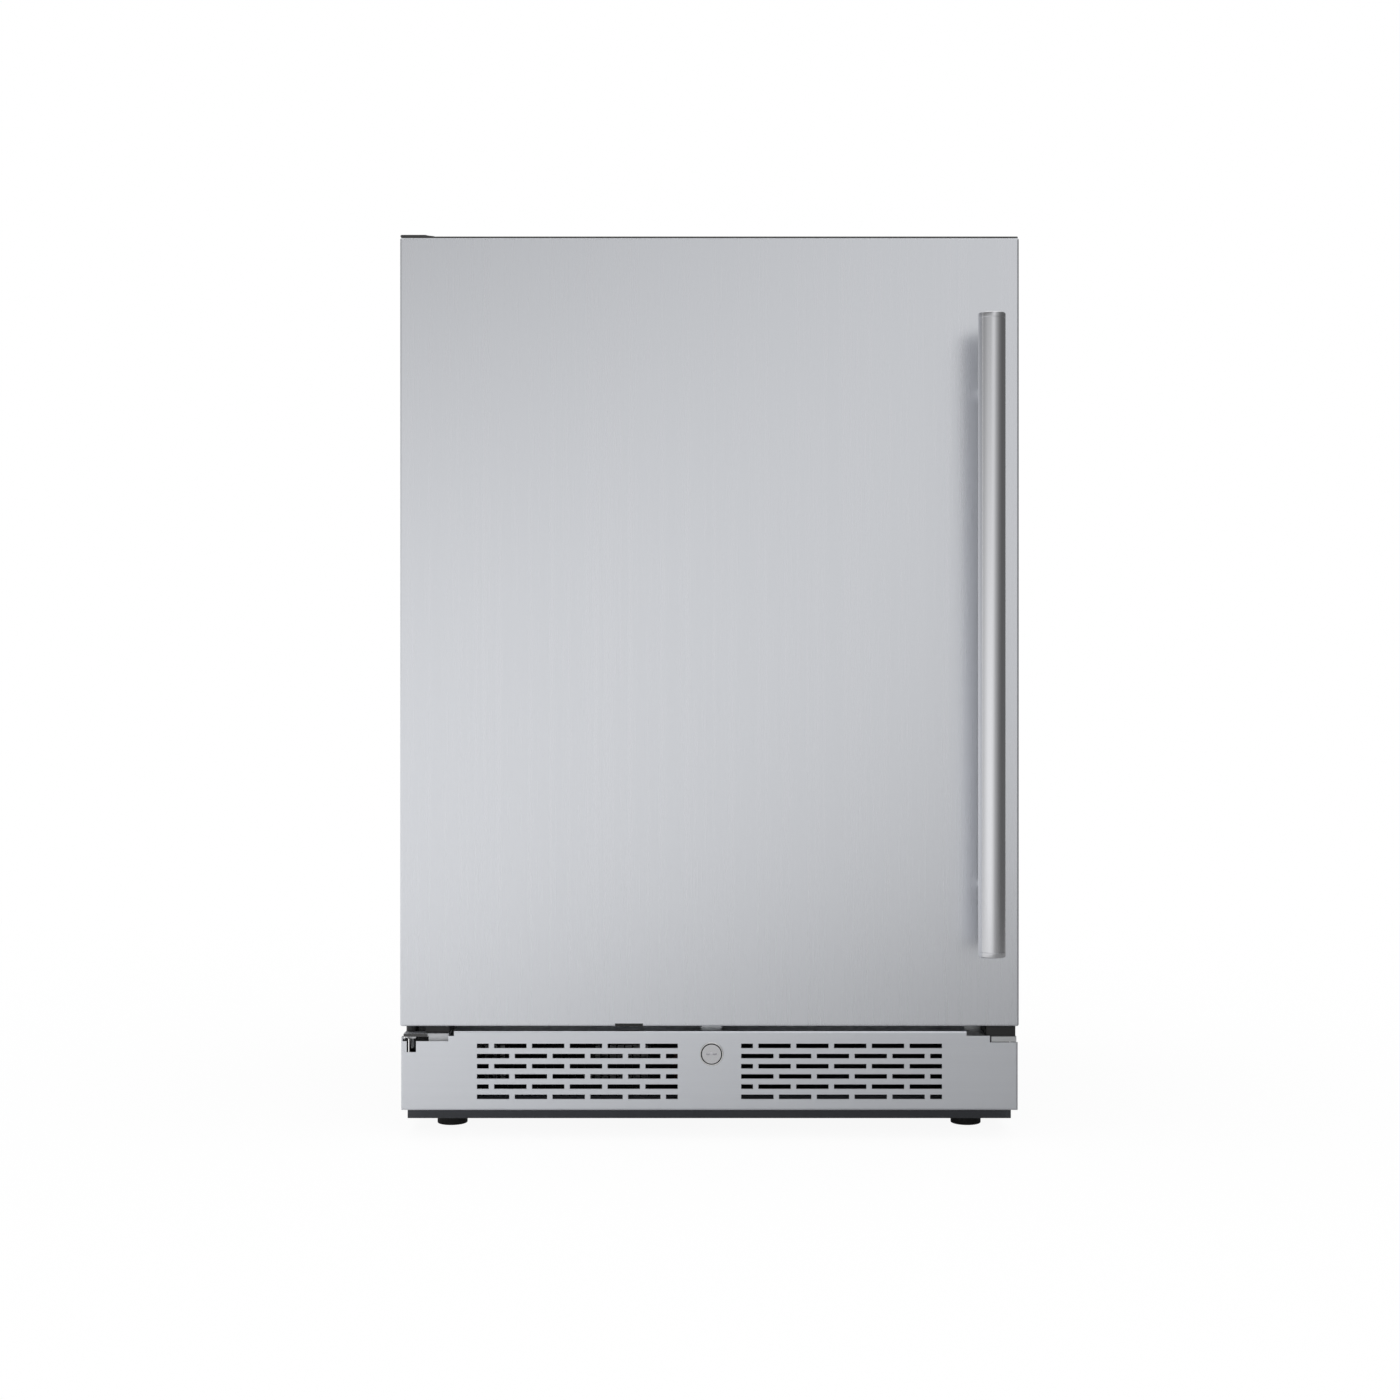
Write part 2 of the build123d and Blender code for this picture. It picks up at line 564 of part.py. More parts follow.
def upper_hinge_bracket():
    """Flat steel arm on the cabinet top that reaches over the door."""
    top = CABINET_TOP + TOP_PLATE
    arm = block(*TOP_PLATE_X, TOP_PLATE_FRONT, TOP_PLATE_BACK, CABINET_TOP, top)
    arm -= post(HINGE_X, HINGE_DEPTH, CABINET_TOP - PAST, top + PAST, PIN_RADIUS)
    for x, depth in TOP_SCREWS:
        arm -= post(x, depth, CABINET_TOP - PAST, top + PAST, SCREW_RADIUS)
    return arm


def upper_hinge_pin():
    """Pin riveted into the arm, down into the door's top bushing."""
    top = CABINET_TOP + TOP_PLATE
    pin = post(HINGE_X, HINGE_DEPTH, DOOR_TOP - PIN_LIFT, top, PIN_RADIUS)
    return pin + post(HINGE_X, HINGE_DEPTH, top, RIVET_TOP, RIVET_RADIUS)


COVER_TOP = 876.0
COVER_WALL = 1.2
COVER_LEFT = -298.0
COVER_RIGHT = -265.0
COVER_SHOULDER_X = -274.0
COVER_SHOULDER_Z = CABINET_TOP + 1.0
COVER_NOSE = 871.2
COVER_RISE = 20.0
COVER_FRONT = 2.0
COVER_LENGTH = 118.0


def cover_block(inset, bottom):
    """Block of the hinge cover, shrunk by a wall; its right flank and its nose slope down."""
    top = COVER_TOP - inset
    left = COVER_LEFT + inset
    right = COVER_RIGHT - inset
    profile = Polyline((left, bottom), (right, bottom), (right, COVER_SHOULDER_Z),
                       (COVER_SHOULDER_X - inset / 2, top), (left, top), close=True)
    face = Plane.XZ.offset(-d(COVER_FRONT + inset)) * make_face(profile)
    nose = Polyline((d(COVER_FRONT), COVER_NOSE - inset), (d(COVER_FRONT + COVER_RISE), top),
                    (d(COVER_FRONT), top), close=True)
    wedge = Plane.YZ.offset(-DOOR_WIDTH) * make_face(nose)
    return extrude(face, -(COVER_LENGTH - 2 * inset)) - extrude(wedge, DOOR_WIDTH)


def upper_hinge_cover():
    """Black moulded cap over the upper hinge."""
    cover = cover_block(0.0, CABINET_TOP)
    return cover - cover_block(COVER_WALL, CABINET_TOP - PAST)


def case_screws():
    """Pan-head screws of the brackets, the upper hinge and the rear cover."""
    screws = []
    face = CABINET_FRONT - PLATE
    for x, z in BRACKET_SCREWS:
        shank = bar_y(x, z, face, CABINET_FRONT + SCREW_END, SCREW_RADIUS)
        screws.append(shank + bar_y(x, z, face - SCREW_HEAD_HEIGHT, face, SCREW_HEAD))
    plate_top = CABINET_TOP + TOP_PLATE
    for x, depth in TOP_SCREWS:
        shank = post(x, depth, CABINET_TOP - TOP_SCREW_LENGTH, plate_top, SCREW_RADIUS)
        screws.append(shank + post(x, depth, plate_top, plate_top + TOP_SCREW_HEAD, SCREW_HEAD))
    rear = BACK_PANEL + SHEET
    for x, z in REAR_SCREWS:
        shank = bar_y(x, z, rear - REAR_SCREW_LENGTH, rear, SCREW_RADIUS)
        screws.append(shank + bar_y(x, z, rear, rear + SCREW_HEAD_HEIGHT, SCREW_HEAD))
    return group(screws)


# ---------------------------------------------------------------- inside the cavity
PANE_FRONT = 76.0
PANE_BACK = RAIL_BACK + 8.0
TRIM_FRONT = (70.0, 84.0)
TRIM_BACK = (RAIL_BACK + 2.0, RAIL_BACK + 14.0)
TRIM_GAP = 2.0
TRIM_UNDER = 3.0
TRIM_OVER = 2.0


def shelf_glass():
    """Three tempered panes on the rails."""
    half = CAVITY_HALF - PART_GAP
    return group([block(-half, half, PANE_FRONT, PANE_BACK, top - GLASS, top) for top in SHELF_TOPS])


def shelf_trims():
    """Front and rear channels clipped over the panes."""
    trims = []
    half = CAVITY_HALF - RAIL_REACH - TRIM_GAP
    for top in SHELF_TOPS:
        for front, back in (TRIM_FRONT, TRIM_BACK):
            bar = block(-half, half, front, back, top - GLASS - TRIM_UNDER, top + TRIM_OVER)
            bar -= block(-CAB, CAB, PANE_FRONT, PANE_BACK, top - GLASS, top)
            trims.append(bar)
    return group(trims)


CONTROL_HALF = 118.0
CONTROL_FRONT = 72.0
CONTROL_BACK = 150.0
CONTROL_BOTTOM = 796.0
BUTTON_RADIUS = 5.0
BUTTON_X = (-62.0, 46.0, 70.0)
BUTTON_Z = 814.0
BUTTON_TRAVEL = 1.5
BUTTON_NAMES = ("button_light", "button_warmer", "button_colder")
BUTTON_FRONT = CONTROL_FRONT - 2.5
BUTTON_BACK = CONTROL_FRONT + 9.5
BUTTON_COLLAR = 1.3
BUTTON_ROUND = 0.6
HOUSING_FACE = 8.0
HOUSING_WALL = 2.0
HOUSING_ROUND = 6.0
CUT = 10.0
WINDOW_HALF = 28.0
WINDOW_HIGH = 9.0
LENS_HALF = 80.0
LENS_DEPTHS = (100.0, 130.0)
INSET = 0.5


def control_housing():
    """Shell under the ceiling that holds the display board and the light."""
    shell = block(-CONTROL_HALF, CONTROL_HALF, CONTROL_FRONT, CONTROL_BACK, CONTROL_BOTTOM, CAVITY_CEILING)
    shell = fillet(shell.edges().filter_by(Axis.X).sort_by(Axis.Z)[0:2], HOUSING_ROUND)
    shell -= block(-CONTROL_HALF + HOUSING_WALL, CONTROL_HALF - HOUSING_WALL, CONTROL_FRONT + HOUSING_FACE,
                   CONTROL_BACK - HOUSING_WALL, CONTROL_BOTTOM + HOUSING_FACE, CAVITY_CEILING + PAST)
    shell -= block(-WINDOW_HALF, WINDOW_HALF, CONTROL_FRONT - PAST, CONTROL_FRONT + CUT,
                   BUTTON_Z - WINDOW_HIGH, BUTTON_Z + WINDOW_HIGH)
    shell -= block(-LENS_HALF, LENS_HALF, *LENS_DEPTHS, CONTROL_BOTTOM - PAST, CONTROL_BOTTOM + CUT)
    for x in BUTTON_X:
        shell -= bar_y(x, BUTTON_Z, CONTROL_FRONT - PAST, CONTROL_FRONT + CUT, BUTTON_RADIUS + RUNNING_GAP)
    return shell


def display_window():
    """Dark window in front of the temperature display."""
    return block(-WINDOW_HALF, WINDOW_HALF, CONTROL_FRONT + INSET, CONTROL_FRONT + HOUSING_FACE,
                 BUTTON_Z - WINDOW_HIGH, BUTTON_Z + WINDOW_HIGH)


def light_lens():
    """Diffuser of the cavity light."""
    return block(-LENS_HALF, LENS_HALF, *LENS_DEPTHS, CONTROL_BOTTOM + INSET, CONTROL_BOTTOM + HOUSING_FACE)


def control_button(x):
    """Round key that stands out of the housing and slides in."""
    key = bar_y(x, BUTTON_Z, BUTTON_FRONT, BUTTON_BACK, BUTTON_RADIUS)
    rim = key.faces().sort_by(Axis.Y)[0].edges()
    key = fillet(rim, BUTTON_ROUND)
    return key + bar_y(x, BUTTON_Z, BUTTON_BACK - BUTTON_COLLAR, BUTTON_BACK, BUTTON_RADIUS + INSET * 3)


COIL_HALF = 190.0
COIL_FRONT = 490.0
COIL_BACK = 528.0
COIL_BOTTOM = 420.0
COIL_TOP = 640.0
COVER_HALF = 215.0
COVER_BOTTOM = 396.0
COVER_CEILING = 806.0
COVER_SHEET = 2.0
COVER_ROUND = 5.0
FAN_HOLE = 58.0
FAN_RADIUS = 52.0
GUARD_RADII = (14.0, 27.0, 40.0, 53.0)
GUARD_BAR = 3.0
INTAKE_COUNT = 15
INTAKE_START = -182.0
INTAKE_PITCH = 26.0
INTAKE_HALF = 3.0
INTAKE_Z = (412.0, 452.0)
END_PLATE = 1.5
FIN_INSET = 2.0
EVAP_FIN_PITCH = 19.0
EVAP_FIN = 0.6
COIL_TUBE = 4.5
BLADES = 5
BLADE_PITCH = 32.0
BLADE_THICK = 1.6
HUB_FACE = 3.0
SHAFT_RADIUS = 1.6
SHAFT_REACH = 10.0
EVAP_FAN_FRONT = 486.0
EVAP_FAN_DEPTH = 16.0
EVAP_HUB = 15.0
EVAP_MOTOR_RADIUS = 16.0
MOTOR_ROUND = 2.0
ARM_SPAN = 128.0
ARM_WIDTH = 12.0
ARM_THICK = 3.0


def fin_block(x0, x1, d0, d1, z0, z1, pitch, thick, rows):
    """Fin-and-tube coil: upright fins on level tubes, with end plates."""
    coil = block(x0, x0 + END_PLATE, d0, d1, z0, z1) + block(x1 - END_PLATE, x1, d0, d1, z0, z1)
    count = int((x1 - x0) / pitch)
    fins = [block(x0 + i * pitch, x0 + i * pitch + thick, d0 + FIN_INSET, d1 - FIN_INSET,
                  z0 + FIN_INSET, z1 - FIN_INSET) for i in range(1, count)]
    middle = (d0 + d1) / 2
    spacing = (z1 - z0) / rows
    tubes = [bar_x(middle, z0 + (i + 0.5) * spacing, x0, x1, COIL_TUBE) for i in range(rows)]
    return coil + fins + tubes


def evaporator():
    """Cooling coil behind the cavity's rear cover."""
    return fin_block(-COIL_HALF, COIL_HALF, COIL_FRONT, COIL_BACK, COIL_BOTTOM, COIL_TOP, EVAP_FIN_PITCH,
                     EVAP_FIN, 5)


def evaporator_cover():
    """Moulded rear panel with intake slots at the bottom and a round outlet guard at the fan."""
    near = FAN_COVER_DEPTH - PAST
    far = FAN_COVER_DEPTH + PAST
    cover = block(-COVER_HALF, COVER_HALF, FAN_COVER_DEPTH, CAVITY_DEPTH, COVER_BOTTOM, COVER_CEILING)
    cover = fillet(cover.faces().sort_by(Axis.Y)[0].edges(), COVER_ROUND)
    cover -= block(-COVER_HALF + COVER_SHEET, COVER_HALF - COVER_SHEET, FAN_COVER_DEPTH + COVER_SHEET,
                   CAVITY_DEPTH + PAST, COVER_BOTTOM + COVER_SHEET, COVER_CEILING - COVER_SHEET)
    for column in range(INTAKE_COUNT):
        x = INTAKE_START + column * INTAKE_PITCH
        cover -= block(x - INTAKE_HALF, x + INTAKE_HALF, near, far, *INTAKE_Z)
    ring = bar_y(FAN_X, FAN_Z, near, far, FAN_HOLE)
    for radius in GUARD_RADII:
        ring -= bar_y(FAN_X, FAN_Z, near, far, radius) - bar_y(FAN_X, FAN_Z, near, far, radius - GUARD_BAR)
    for angle in (45, 135):
        spoke = Rot(0, angle, 0) * Box(2 * FAN_HOLE + PAST, 2 * PAST, GUARD_BAR)
        ring -= Pos(FAN_X, d(FAN_COVER_DEPTH), FAN_Z) * spoke
    return cover - ring - service_holes(SUCTION, CAPILLARY)


def axial_fan(x, z, front, depth, radius, hub):
    """Rotor with a closed hub in front, pitched blades and a shaft bore behind."""
    rotor = bar_y(x, z, front, front + depth, hub)
    root = hub - GUARD_BAR
    length = radius - root
    for index in range(BLADES):
        blade = Rot(BLADE_PITCH, 0, 0) * Box(length, BLADE_THICK, hub * 1.4)
        blade = Rot(0, index * 360 / BLADES, 0) * Pos(root + length / 2, 0, 0) * blade
        rotor += Pos(x, d(front + depth / 2), z) * blade
    rotor &= bar_y(x, z, front, front + depth, radius)
    return rotor - bar_y(x, z, front + HUB_FACE, front + depth + PAST, SHAFT_RADIUS + RUNNING_GAP)


def fan_motor(x, z, fan_back, back, radius):
    """Round motor can with its shaft in the fan's hub."""
    face = fan_back + HUB_FACE
    can = bar_y(x, z, face, back, radius)
    can = fillet(can.faces().sort_by(Axis.Y)[0].edges(), MOTOR_ROUND)
    return can + bar_y(x, z, fan_back - SHAFT_REACH, face, SHAFT_RADIUS)


def evaporator_fan():
    """Cavity fan; its closed hub faces the cavity."""
    return axial_fan(FAN_X, FAN_Z, EVAP_FAN_FRONT, EVAP_FAN_DEPTH, FAN_RADIUS, EVAP_HUB)


def evaporator_fan_motor():
    """Small motor on a cross bracket fixed to the liner's rear wall."""
    fan_back = EVAP_FAN_FRONT + EVAP_FAN_DEPTH
    motor = fan_motor(FAN_X, FAN_Z, fan_back, CAVITY_DEPTH - ARM_THICK / 2, EVAP_MOTOR_RADIUS)
    for angle in (0, 90):
        arm = Rot(0, angle, 0) * Box(ARM_SPAN, ARM_THICK, ARM_WIDTH)
        motor += Pos(FAN_X, d(CAVITY_DEPTH - ARM_THICK / 2), FAN_Z) * arm
    return motor


DRAIN_BOTTOM = 48.0
DRAIN_WALL = 2.0
DRAIN_BRIM = 4.0


def drain_tube():
    """Meltwater tube from the cavity step down to the tray."""
    x, depth, radius = DRAIN
    brim_top = LINER_STEP_TOP + DRAIN_WALL
    pipe = post(x, depth, DRAIN_BOTTOM, LINER_STEP_TOP, radius)
    pipe += post(x, depth, LINER_STEP_TOP, brim_top, radius + DRAIN_BRIM)
    return pipe - post(x, depth, DRAIN_BOTTOM - PAST, brim_top + PAST, radius - DRAIN_WALL)


# ---------------------------------------------------------------- machine space
PLATE_Z = 30.0
PLATE_SHEET = 3.0
PLATE_MARGIN_X = 16.0
PLATE_MARGIN_D = 14.0
PLATE_HOLE = 7.0
CRADLE_HALF = 36.0
SHELL_RADIUS = 62.0
SHELL_BOTTOM = 38.0
SHELL_TOP = 196.0
SHELL_ROUND = 24.0
SEAM = (112.0, 117.0)
SEAM_REACH = 4.0
STUB = 10.0
STUB_RADIUS = 4.6
SUCTION_STUB_Z = 150.0
DISCHARGE_STUB_Z = 96.0
SPOOL_RADIUS = 11.0
SPOOL_NECK = 6.9
SPOOL_CAP = 9.5
SPOOL_CAP_HEIGHT = 4.0


def compressor():
    """Hermetic compressor: domed shell with a weld seam, foot plate and two stubs."""
    shell = post(COMPRESSOR_X, COMPRESSOR_DEPTH, SHELL_BOTTOM, SHELL_TOP, SHELL_RADIUS)
    rims = shell.edges().filter_by(GeomType.CIRCLE)
    shell = fillet(rims, SHELL_ROUND)
    shell += post(COMPRESSOR_X, COMPRESSOR_DEPTH, SEAM[0], SEAM[1], SHELL_RADIUS + SEAM_REACH)
    half_x = MOUNT_X + PLATE_MARGIN_X
    half_d = MOUNT_D + PLATE_MARGIN_D
    plate = block(COMPRESSOR_X - half_x, COMPRESSOR_X + half_x, COMPRESSOR_DEPTH - half_d,
                  COMPRESSOR_DEPTH + half_d, PLATE_Z, PLATE_Z + PLATE_SHEET)
    plate += block(COMPRESSOR_X - CRADLE_HALF, COMPRESSOR_X + CRADLE_HALF, COMPRESSOR_DEPTH - CRADLE_HALF,
                   COMPRESSOR_DEPTH + CRADLE_HALF, PLATE_Z + PLATE_SHEET, SHELL_BOTTOM + 2)
    for x, depth in COMPRESSOR_MOUNTS:
        plate -= post(x, depth, PLATE_Z - PAST, PLATE_Z + PAST, PLATE_HOLE)
    suction = bar_x(SUCTION[1], SUCTION_STUB_Z, COMPRESSOR_X, COMPRESSOR_X + SHELL_RADIUS + STUB, STUB_RADIUS)
    discharge = bar_y(COMPRESSOR_X, DISCHARGE_STUB_Z, COMPRESSOR_DEPTH - SHELL_RADIUS - STUB, COMPRESSOR_DEPTH,
                      STUB_RADIUS)
    return shell + plate + suction + discharge


def compressor_grommets():
    """Four rubber spools between the foot plate and the base."""
    spools = []
    top = PLATE_Z + PLATE_SHEET
    for x, depth in COMPRESSOR_MOUNTS:
        spool = post(x, depth, BASE_TOP, PLATE_Z, SPOOL_RADIUS)
        spool += post(x, depth, PLATE_Z, top, SPOOL_NECK)
        spool += post(x, depth, top, top + SPOOL_CAP_HEIGHT, SPOOL_CAP)
        spools.append(spool - post(x, depth, 0, MOUNT_STUD_TOP + PAST, MOUNT_STUD + RUNNING_GAP))
    return group(spools)


RELAY_OUT = 30.0
RELAY_IN = 8.0
RELAY_HALF = 26.0
RELAY_Z = (60.0, 108.0)
RELAY_ROUND = 4.0


def terminal_cover():
    """Plastic cover of the start relay, clipped to the compressor's left side."""
    reach = COMPRESSOR_X - SHELL_RADIUS
    cover = block(reach - RELAY_OUT, reach + RELAY_IN, COMPRESSOR_DEPTH - RELAY_HALF,
                  COMPRESSOR_DEPTH + RELAY_HALF, *RELAY_Z)
    cover = fillet(cover.edges().filter_by(Axis.Y), RELAY_ROUND)
    return cover - post(COMPRESSOR_X, COMPRESSOR_DEPTH, SHELL_BOTTOM, SHELL_TOP, SHELL_RADIUS)


CONDENSER_LEFT = -262.0
CONDENSER_RIGHT = -60.0
CONDENSER_FRONT = 92.0
CONDENSER_BACK = 122.0
CONDENSER_BOTTOM = 18.0
CONDENSER_TOP = 112.0
COND_FAN_X = -161.0
COND_FAN_Z = 65.0
COND_FAN_RADIUS = 43.0
SHROUD_BACK = 124.0
SHROUD_OVER = 4.0
COLLAR_LENGTH = 22.0
COLLAR_WALL = 2.0
COND_FIN_PITCH = 8.0
COND_FIN = 0.5
COND_FAN_DEPTH = 18.0
COND_HUB = 14.0
COND_MOTOR = (36.0, 26.0)
MOTOR_FOOT_HALF = 17.0
MOTOR_FOOT = (12.0, 28.0)
DRIER_X = -30.0
DRIER_Z = 34.0
DRIER_DEPTHS = (150.0, 232.0)
DRIER_RADIUS = 9.5
DRIER_NECK = 3.0
LINE_RADIUS = 3.0
LINE_DEPTH = 107.0
LINE_BEND = 14.0
FINE_BEND = 30.0
HOT_DEPTH = 270.0
HOT_X = -38.0
TRAY_X = (-235.0, -60.0)
TRAY_DEPTHS = (400.0, 560.0)
TRAY_TOP = 44.0
TRAY_WALL = 2.5
TRAY_CORNER = 10.0
TRAY_ROUND = 3.0


def condenser():
    """Fin-and-tube coil behind the left air slots, on two feet."""
    coil = fin_block(CONDENSER_LEFT, CONDENSER_RIGHT, CONDENSER_FRONT, CONDENSER_BACK, CONDENSER_BOTTOM,
                     CONDENSER_TOP, COND_FIN_PITCH, COND_FIN, 4)
    for left in (CONDENSER_LEFT, CONDENSER_RIGHT - END_PLATE):
        coil += block(left, left + END_PLATE, CONDENSER_FRONT, CONDENSER_BACK, BASE_TOP, CONDENSER_BOTTOM)
    return coil


def condenser_shroud():
    """Plate with a round throat that ducts the fan's air through the coil."""
    plate = block(CONDENSER_LEFT, CONDENSER_RIGHT, CONDENSER_BACK, SHROUD_BACK, BASE_TOP,
                  CONDENSER_TOP + SHROUD_OVER)
    throat = COND_FAN_RADIUS + COLLAR_WALL
    end = SHROUD_BACK + COLLAR_LENGTH
    collar = bar_y(COND_FAN_X, COND_FAN_Z, SHROUD_BACK, end, throat + COLLAR_WALL)
    return plate + collar - bar_y(COND_FAN_X, COND_FAN_Z, CONDENSER_BACK - PAST, end + PAST, throat)


def condenser_fan():
    """Fan that draws air through the condenser."""
    return axial_fan(COND_FAN_X, COND_FAN_Z, SHROUD_BACK + 1, COND_FAN_DEPTH, COND_FAN_RADIUS, COND_HUB)


def condenser_fan_motor():
    """Motor on a folded foot behind the fan."""
    fan_back = SHROUD_BACK + 1 + COND_FAN_DEPTH
    length, radius = COND_MOTOR
    near, far = MOTOR_FOOT
    foot = block(COND_FAN_X - MOTOR_FOOT_HALF, COND_FAN_X + MOTOR_FOOT_HALF, fan_back + near, fan_back + far,
                 BASE_TOP, COND_FAN_Z - CUT)
    return fan_motor(COND_FAN_X, COND_FAN_Z, fan_back, fan_back + length, radius) + foot


def filter_drier():
    """Copper drier with its inlet tube from the condenser."""
    body = bar_y(DRIER_X, DRIER_Z, *DRIER_DEPTHS, DRIER_RADIUS)
    body = chamfer(body.edges().filter_by(GeomType.CIRCLE), DRIER_NECK)
    inlet = tube([(CONDENSER_RIGHT, LINE_DEPTH, DRIER_Z), (DRIER_X, LINE_DEPTH, DRIER_Z),
                  (DRIER_X, DRIER_DEPTHS[0], DRIER_Z)], LINE_RADIUS, LINE_BEND - 2)
    return body + inlet


def refrigerant_lines():
    """Hot gas line, cold gas line and the fine capillary, as three separate tubes."""
    hot_start = COMPRESSOR_DEPTH - SHELL_RADIUS - STUB
    hot = [(COMPRESSOR_X, hot_start, DISCHARGE_STUB_Z), (COMPRESSOR_X, HOT_DEPTH, DISCHARGE_STUB_Z),
           (HOT_X, HOT_DEPTH, DISCHARGE_STUB_Z), (HOT_X, LINE_DEPTH, DISCHARGE_STUB_Z),
           (CONDENSER_RIGHT, LINE_DEPTH, DISCHARGE_STUB_Z)]
    cold_x, cold_depth, cold_radius = SUCTION
    cold = [(cold_x, cold_depth, COIL_BOTTOM), (cold_x, cold_depth, SUCTION_STUB_Z),
            (COMPRESSOR_X + SHELL_RADIUS + STUB, cold_depth, SUCTION_STUB_Z)]
    fine_x, fine_depth, fine_radius = CAPILLARY
    fine = [(fine_x, DRIER_DEPTHS[1], DRIER_Z), (fine_x, fine_depth, DRIER_Z),
            (fine_x, fine_depth, COIL_BOTTOM)]
    return group([tube(hot, LINE_RADIUS, LINE_BEND), tube(cold, cold_radius, LINE_BEND),
                  tube(fine, fine_radius, FINE_BEND)])


def drip_tray():
    """Open tray under the drain tube."""
    tray = block(*TRAY_X, *TRAY_DEPTHS, BASE_TOP, TRAY_TOP)
    tray = fillet(tray.edges().filter_by(Axis.Z), TRAY_CORNER)
    tray = fillet(tray.faces().sort_by(Axis.Z)[0].edges(), TRAY_ROUND)
    return tray - block(TRAY_X[0] + TRAY_WALL, TRAY_X[1] - TRAY_WALL, TRAY_DEPTHS[0] + TRAY_WALL,
                        TRAY_DEPTHS[1] - TRAY_WALL, BASE_TOP + TRAY_WALL, TRAY_TOP + PAST)


# ---------------------------------------------------------------- door
DYKE_HALF = 240.0
DYKE_BOTTOM = 174.0
DYKE_TOP = 818.0
DYKE_BACK = 62.0
DYKE_ROUND = 8.0
DOOR_LINER = 1.5
CAP_TOP = 869.4
CAP_INSET = 0.8
CAP_ROUND = 2.0
STANDOFFS_Z = (HANDLE_BOTTOM + STANDOFF_INSET, HANDLE_BOTTOM + HANDLE_LENGTH - STANDOFF_INSET)
CAP_LENGTH = 5.0
CAP_CHAMFER = 1.0
CAP_PLUG = 12.0
HANDLE_WALL = 1.5
STANDOFF_RADIUS = 4.5
STUD_LENGTH = 14.0
HANDLE_STUD = 3.0
SADDLE_REACH = 20.0
PLUG_X = (-91.0, -64.0)
PLUG_HIGH = 111.6
PLUG_FACE = 0.4
PLUG_DEPTH = 12.0
PLUG_STEM = 4.0
PLUG_STEM_FACE = 5.0
PLUG_STEM_TOP = 122.0
STRIKE_HALF = 15.5
STRIKE_DEPTHS = (13.0, 29.0)
STRIKE_TOP = 120.0
STRIKE_WALL = 1.0
BUSH_LENGTH = 18.0
SEAL_HALF = 284.0
SEAL_Z = (128.0, 858.0)
SEAL_WIDTH = 12.0
SEAL_ROUND = 6.0
GROOVE_DEPTHS = (44.5, 47.0)
GROOVE_INSET = 4.0


def door_block(inset, back):
    """Rounded block of the door, shrunk by a sheet."""
    shape = block(-DOOR + inset, DOOR - inset, inset, back, DOOR_BOTTOM + inset, DOOR_TOP - inset)
    edges = shape.faces().sort_by(Axis.Y)[0].edges() + shape.edges().filter_by(Axis.Y)
    return fillet(edges, DOOR_EDGE_RADIUS - inset)


def bush_space():
    """Cylinders that the two hinge bushings fill."""
    low = post(HINGE_X, HINGE_DEPTH, DOOR_BOTTOM, DOOR_BOTTOM + BUSH_LENGTH, BUSH_RADIUS)
    return low + post(HINGE_X, HINGE_DEPTH, CAP_TOP - BUSH_LENGTH - 2, CAP_TOP, BUSH_RADIUS)


def strike_space(wall):
    """Pocket in the door's underside that the lock bolt enters."""
    near, far = STRIKE_DEPTHS
    return block(LOCK_X - STRIKE_HALF - wall, LOCK_X + STRIKE_HALF + wall, near - wall, far + wall,
                 DOOR_BOTTOM, STRIKE_TOP + wall)


def plug_space():
    """Notch in the door's lower front edge that the filling plug closes."""
    notch = block(*PLUG_X, PLUG_FACE, PLUG_DEPTH, DOOR_BOTTOM, PLUG_HIGH)
    return notch + block(PLUG_X[0] + PLUG_STEM, PLUG_X[1] - PLUG_STEM, PLUG_STEM_FACE, PLUG_DEPTH,
                         PLUG_HIGH, PLUG_STEM_TOP)


def stud_space():
    """Holes for the two handle studs."""
    return group([bar_y(HANDLE_X, z, 0, STUD_LENGTH, HANDLE_STUD) for z in STANDOFFS_Z])


def door_skin():
    """Folded stainless outer panel."""
    skin = door_block(0.0, DOOR_THICK - DOOR_LINER)
    skin -= door_block(DOOR_SHEET, DOOR_THICK + PAST)
    skin -= block(*PLUG_X, -PAST, PLUG_DEPTH, DOOR_BOTTOM - PAST, PLUG_HIGH)
    return skin - bush_space() - strike_space(0.0) - stud_space()


def door_top_cap():
    """Thin dark closing strip along the top edge."""
    cap = block(-DOOR + CAP_INSET, DOOR - CAP_INSET, CAP_INSET, DOOR_THICK, DOOR_TOP, CAP_TOP)
    cap = fillet(cap.edges().filter_by(Axis.Z), CAP_ROUND)
    return cap - bush_space()


def dyke(inset, front):
    """Raised block on the door's inner face."""
    shape = block(-DYKE_HALF + inset, DYKE_HALF - inset, front, DYKE_BACK - inset, DYKE_BOTTOM + inset,
                  DYKE_TOP - inset)
    edges = shape.faces().sort_by(Axis.Y)[-1].edges() + shape.edges().filter_by(Axis.Y)
    return fillet(edges, DYKE_ROUND - inset)


def door_liner():
    """Moulded inner panel with a raised middle."""
    panel = block(-DOOR, DOOR, DOOR_THICK - DOOR_LINER, DOOR_THICK, DOOR_BOTTOM, DOOR_TOP)
    panel = fillet(panel.edges().filter_by(Axis.Y), DOOR_EDGE_RADIUS)
    return panel + dyke(0.0, DOOR_THICK - DOOR_LINER) - dyke(DOOR_LINER, DOOR_THICK - DOOR_LINER - PAST)


def door_foam():
    """Foamed-in insulation of the door."""
    foam = door_block(DOOR_SHEET, DOOR_THICK - DOOR_LINER)
    foam += dyke(DOOR_LINER, DOOR_THICK - DOOR_LINER - PAST)
    return foam - bush_space() - strike_space(STRIKE_WALL) - plug_space() - stud_space()


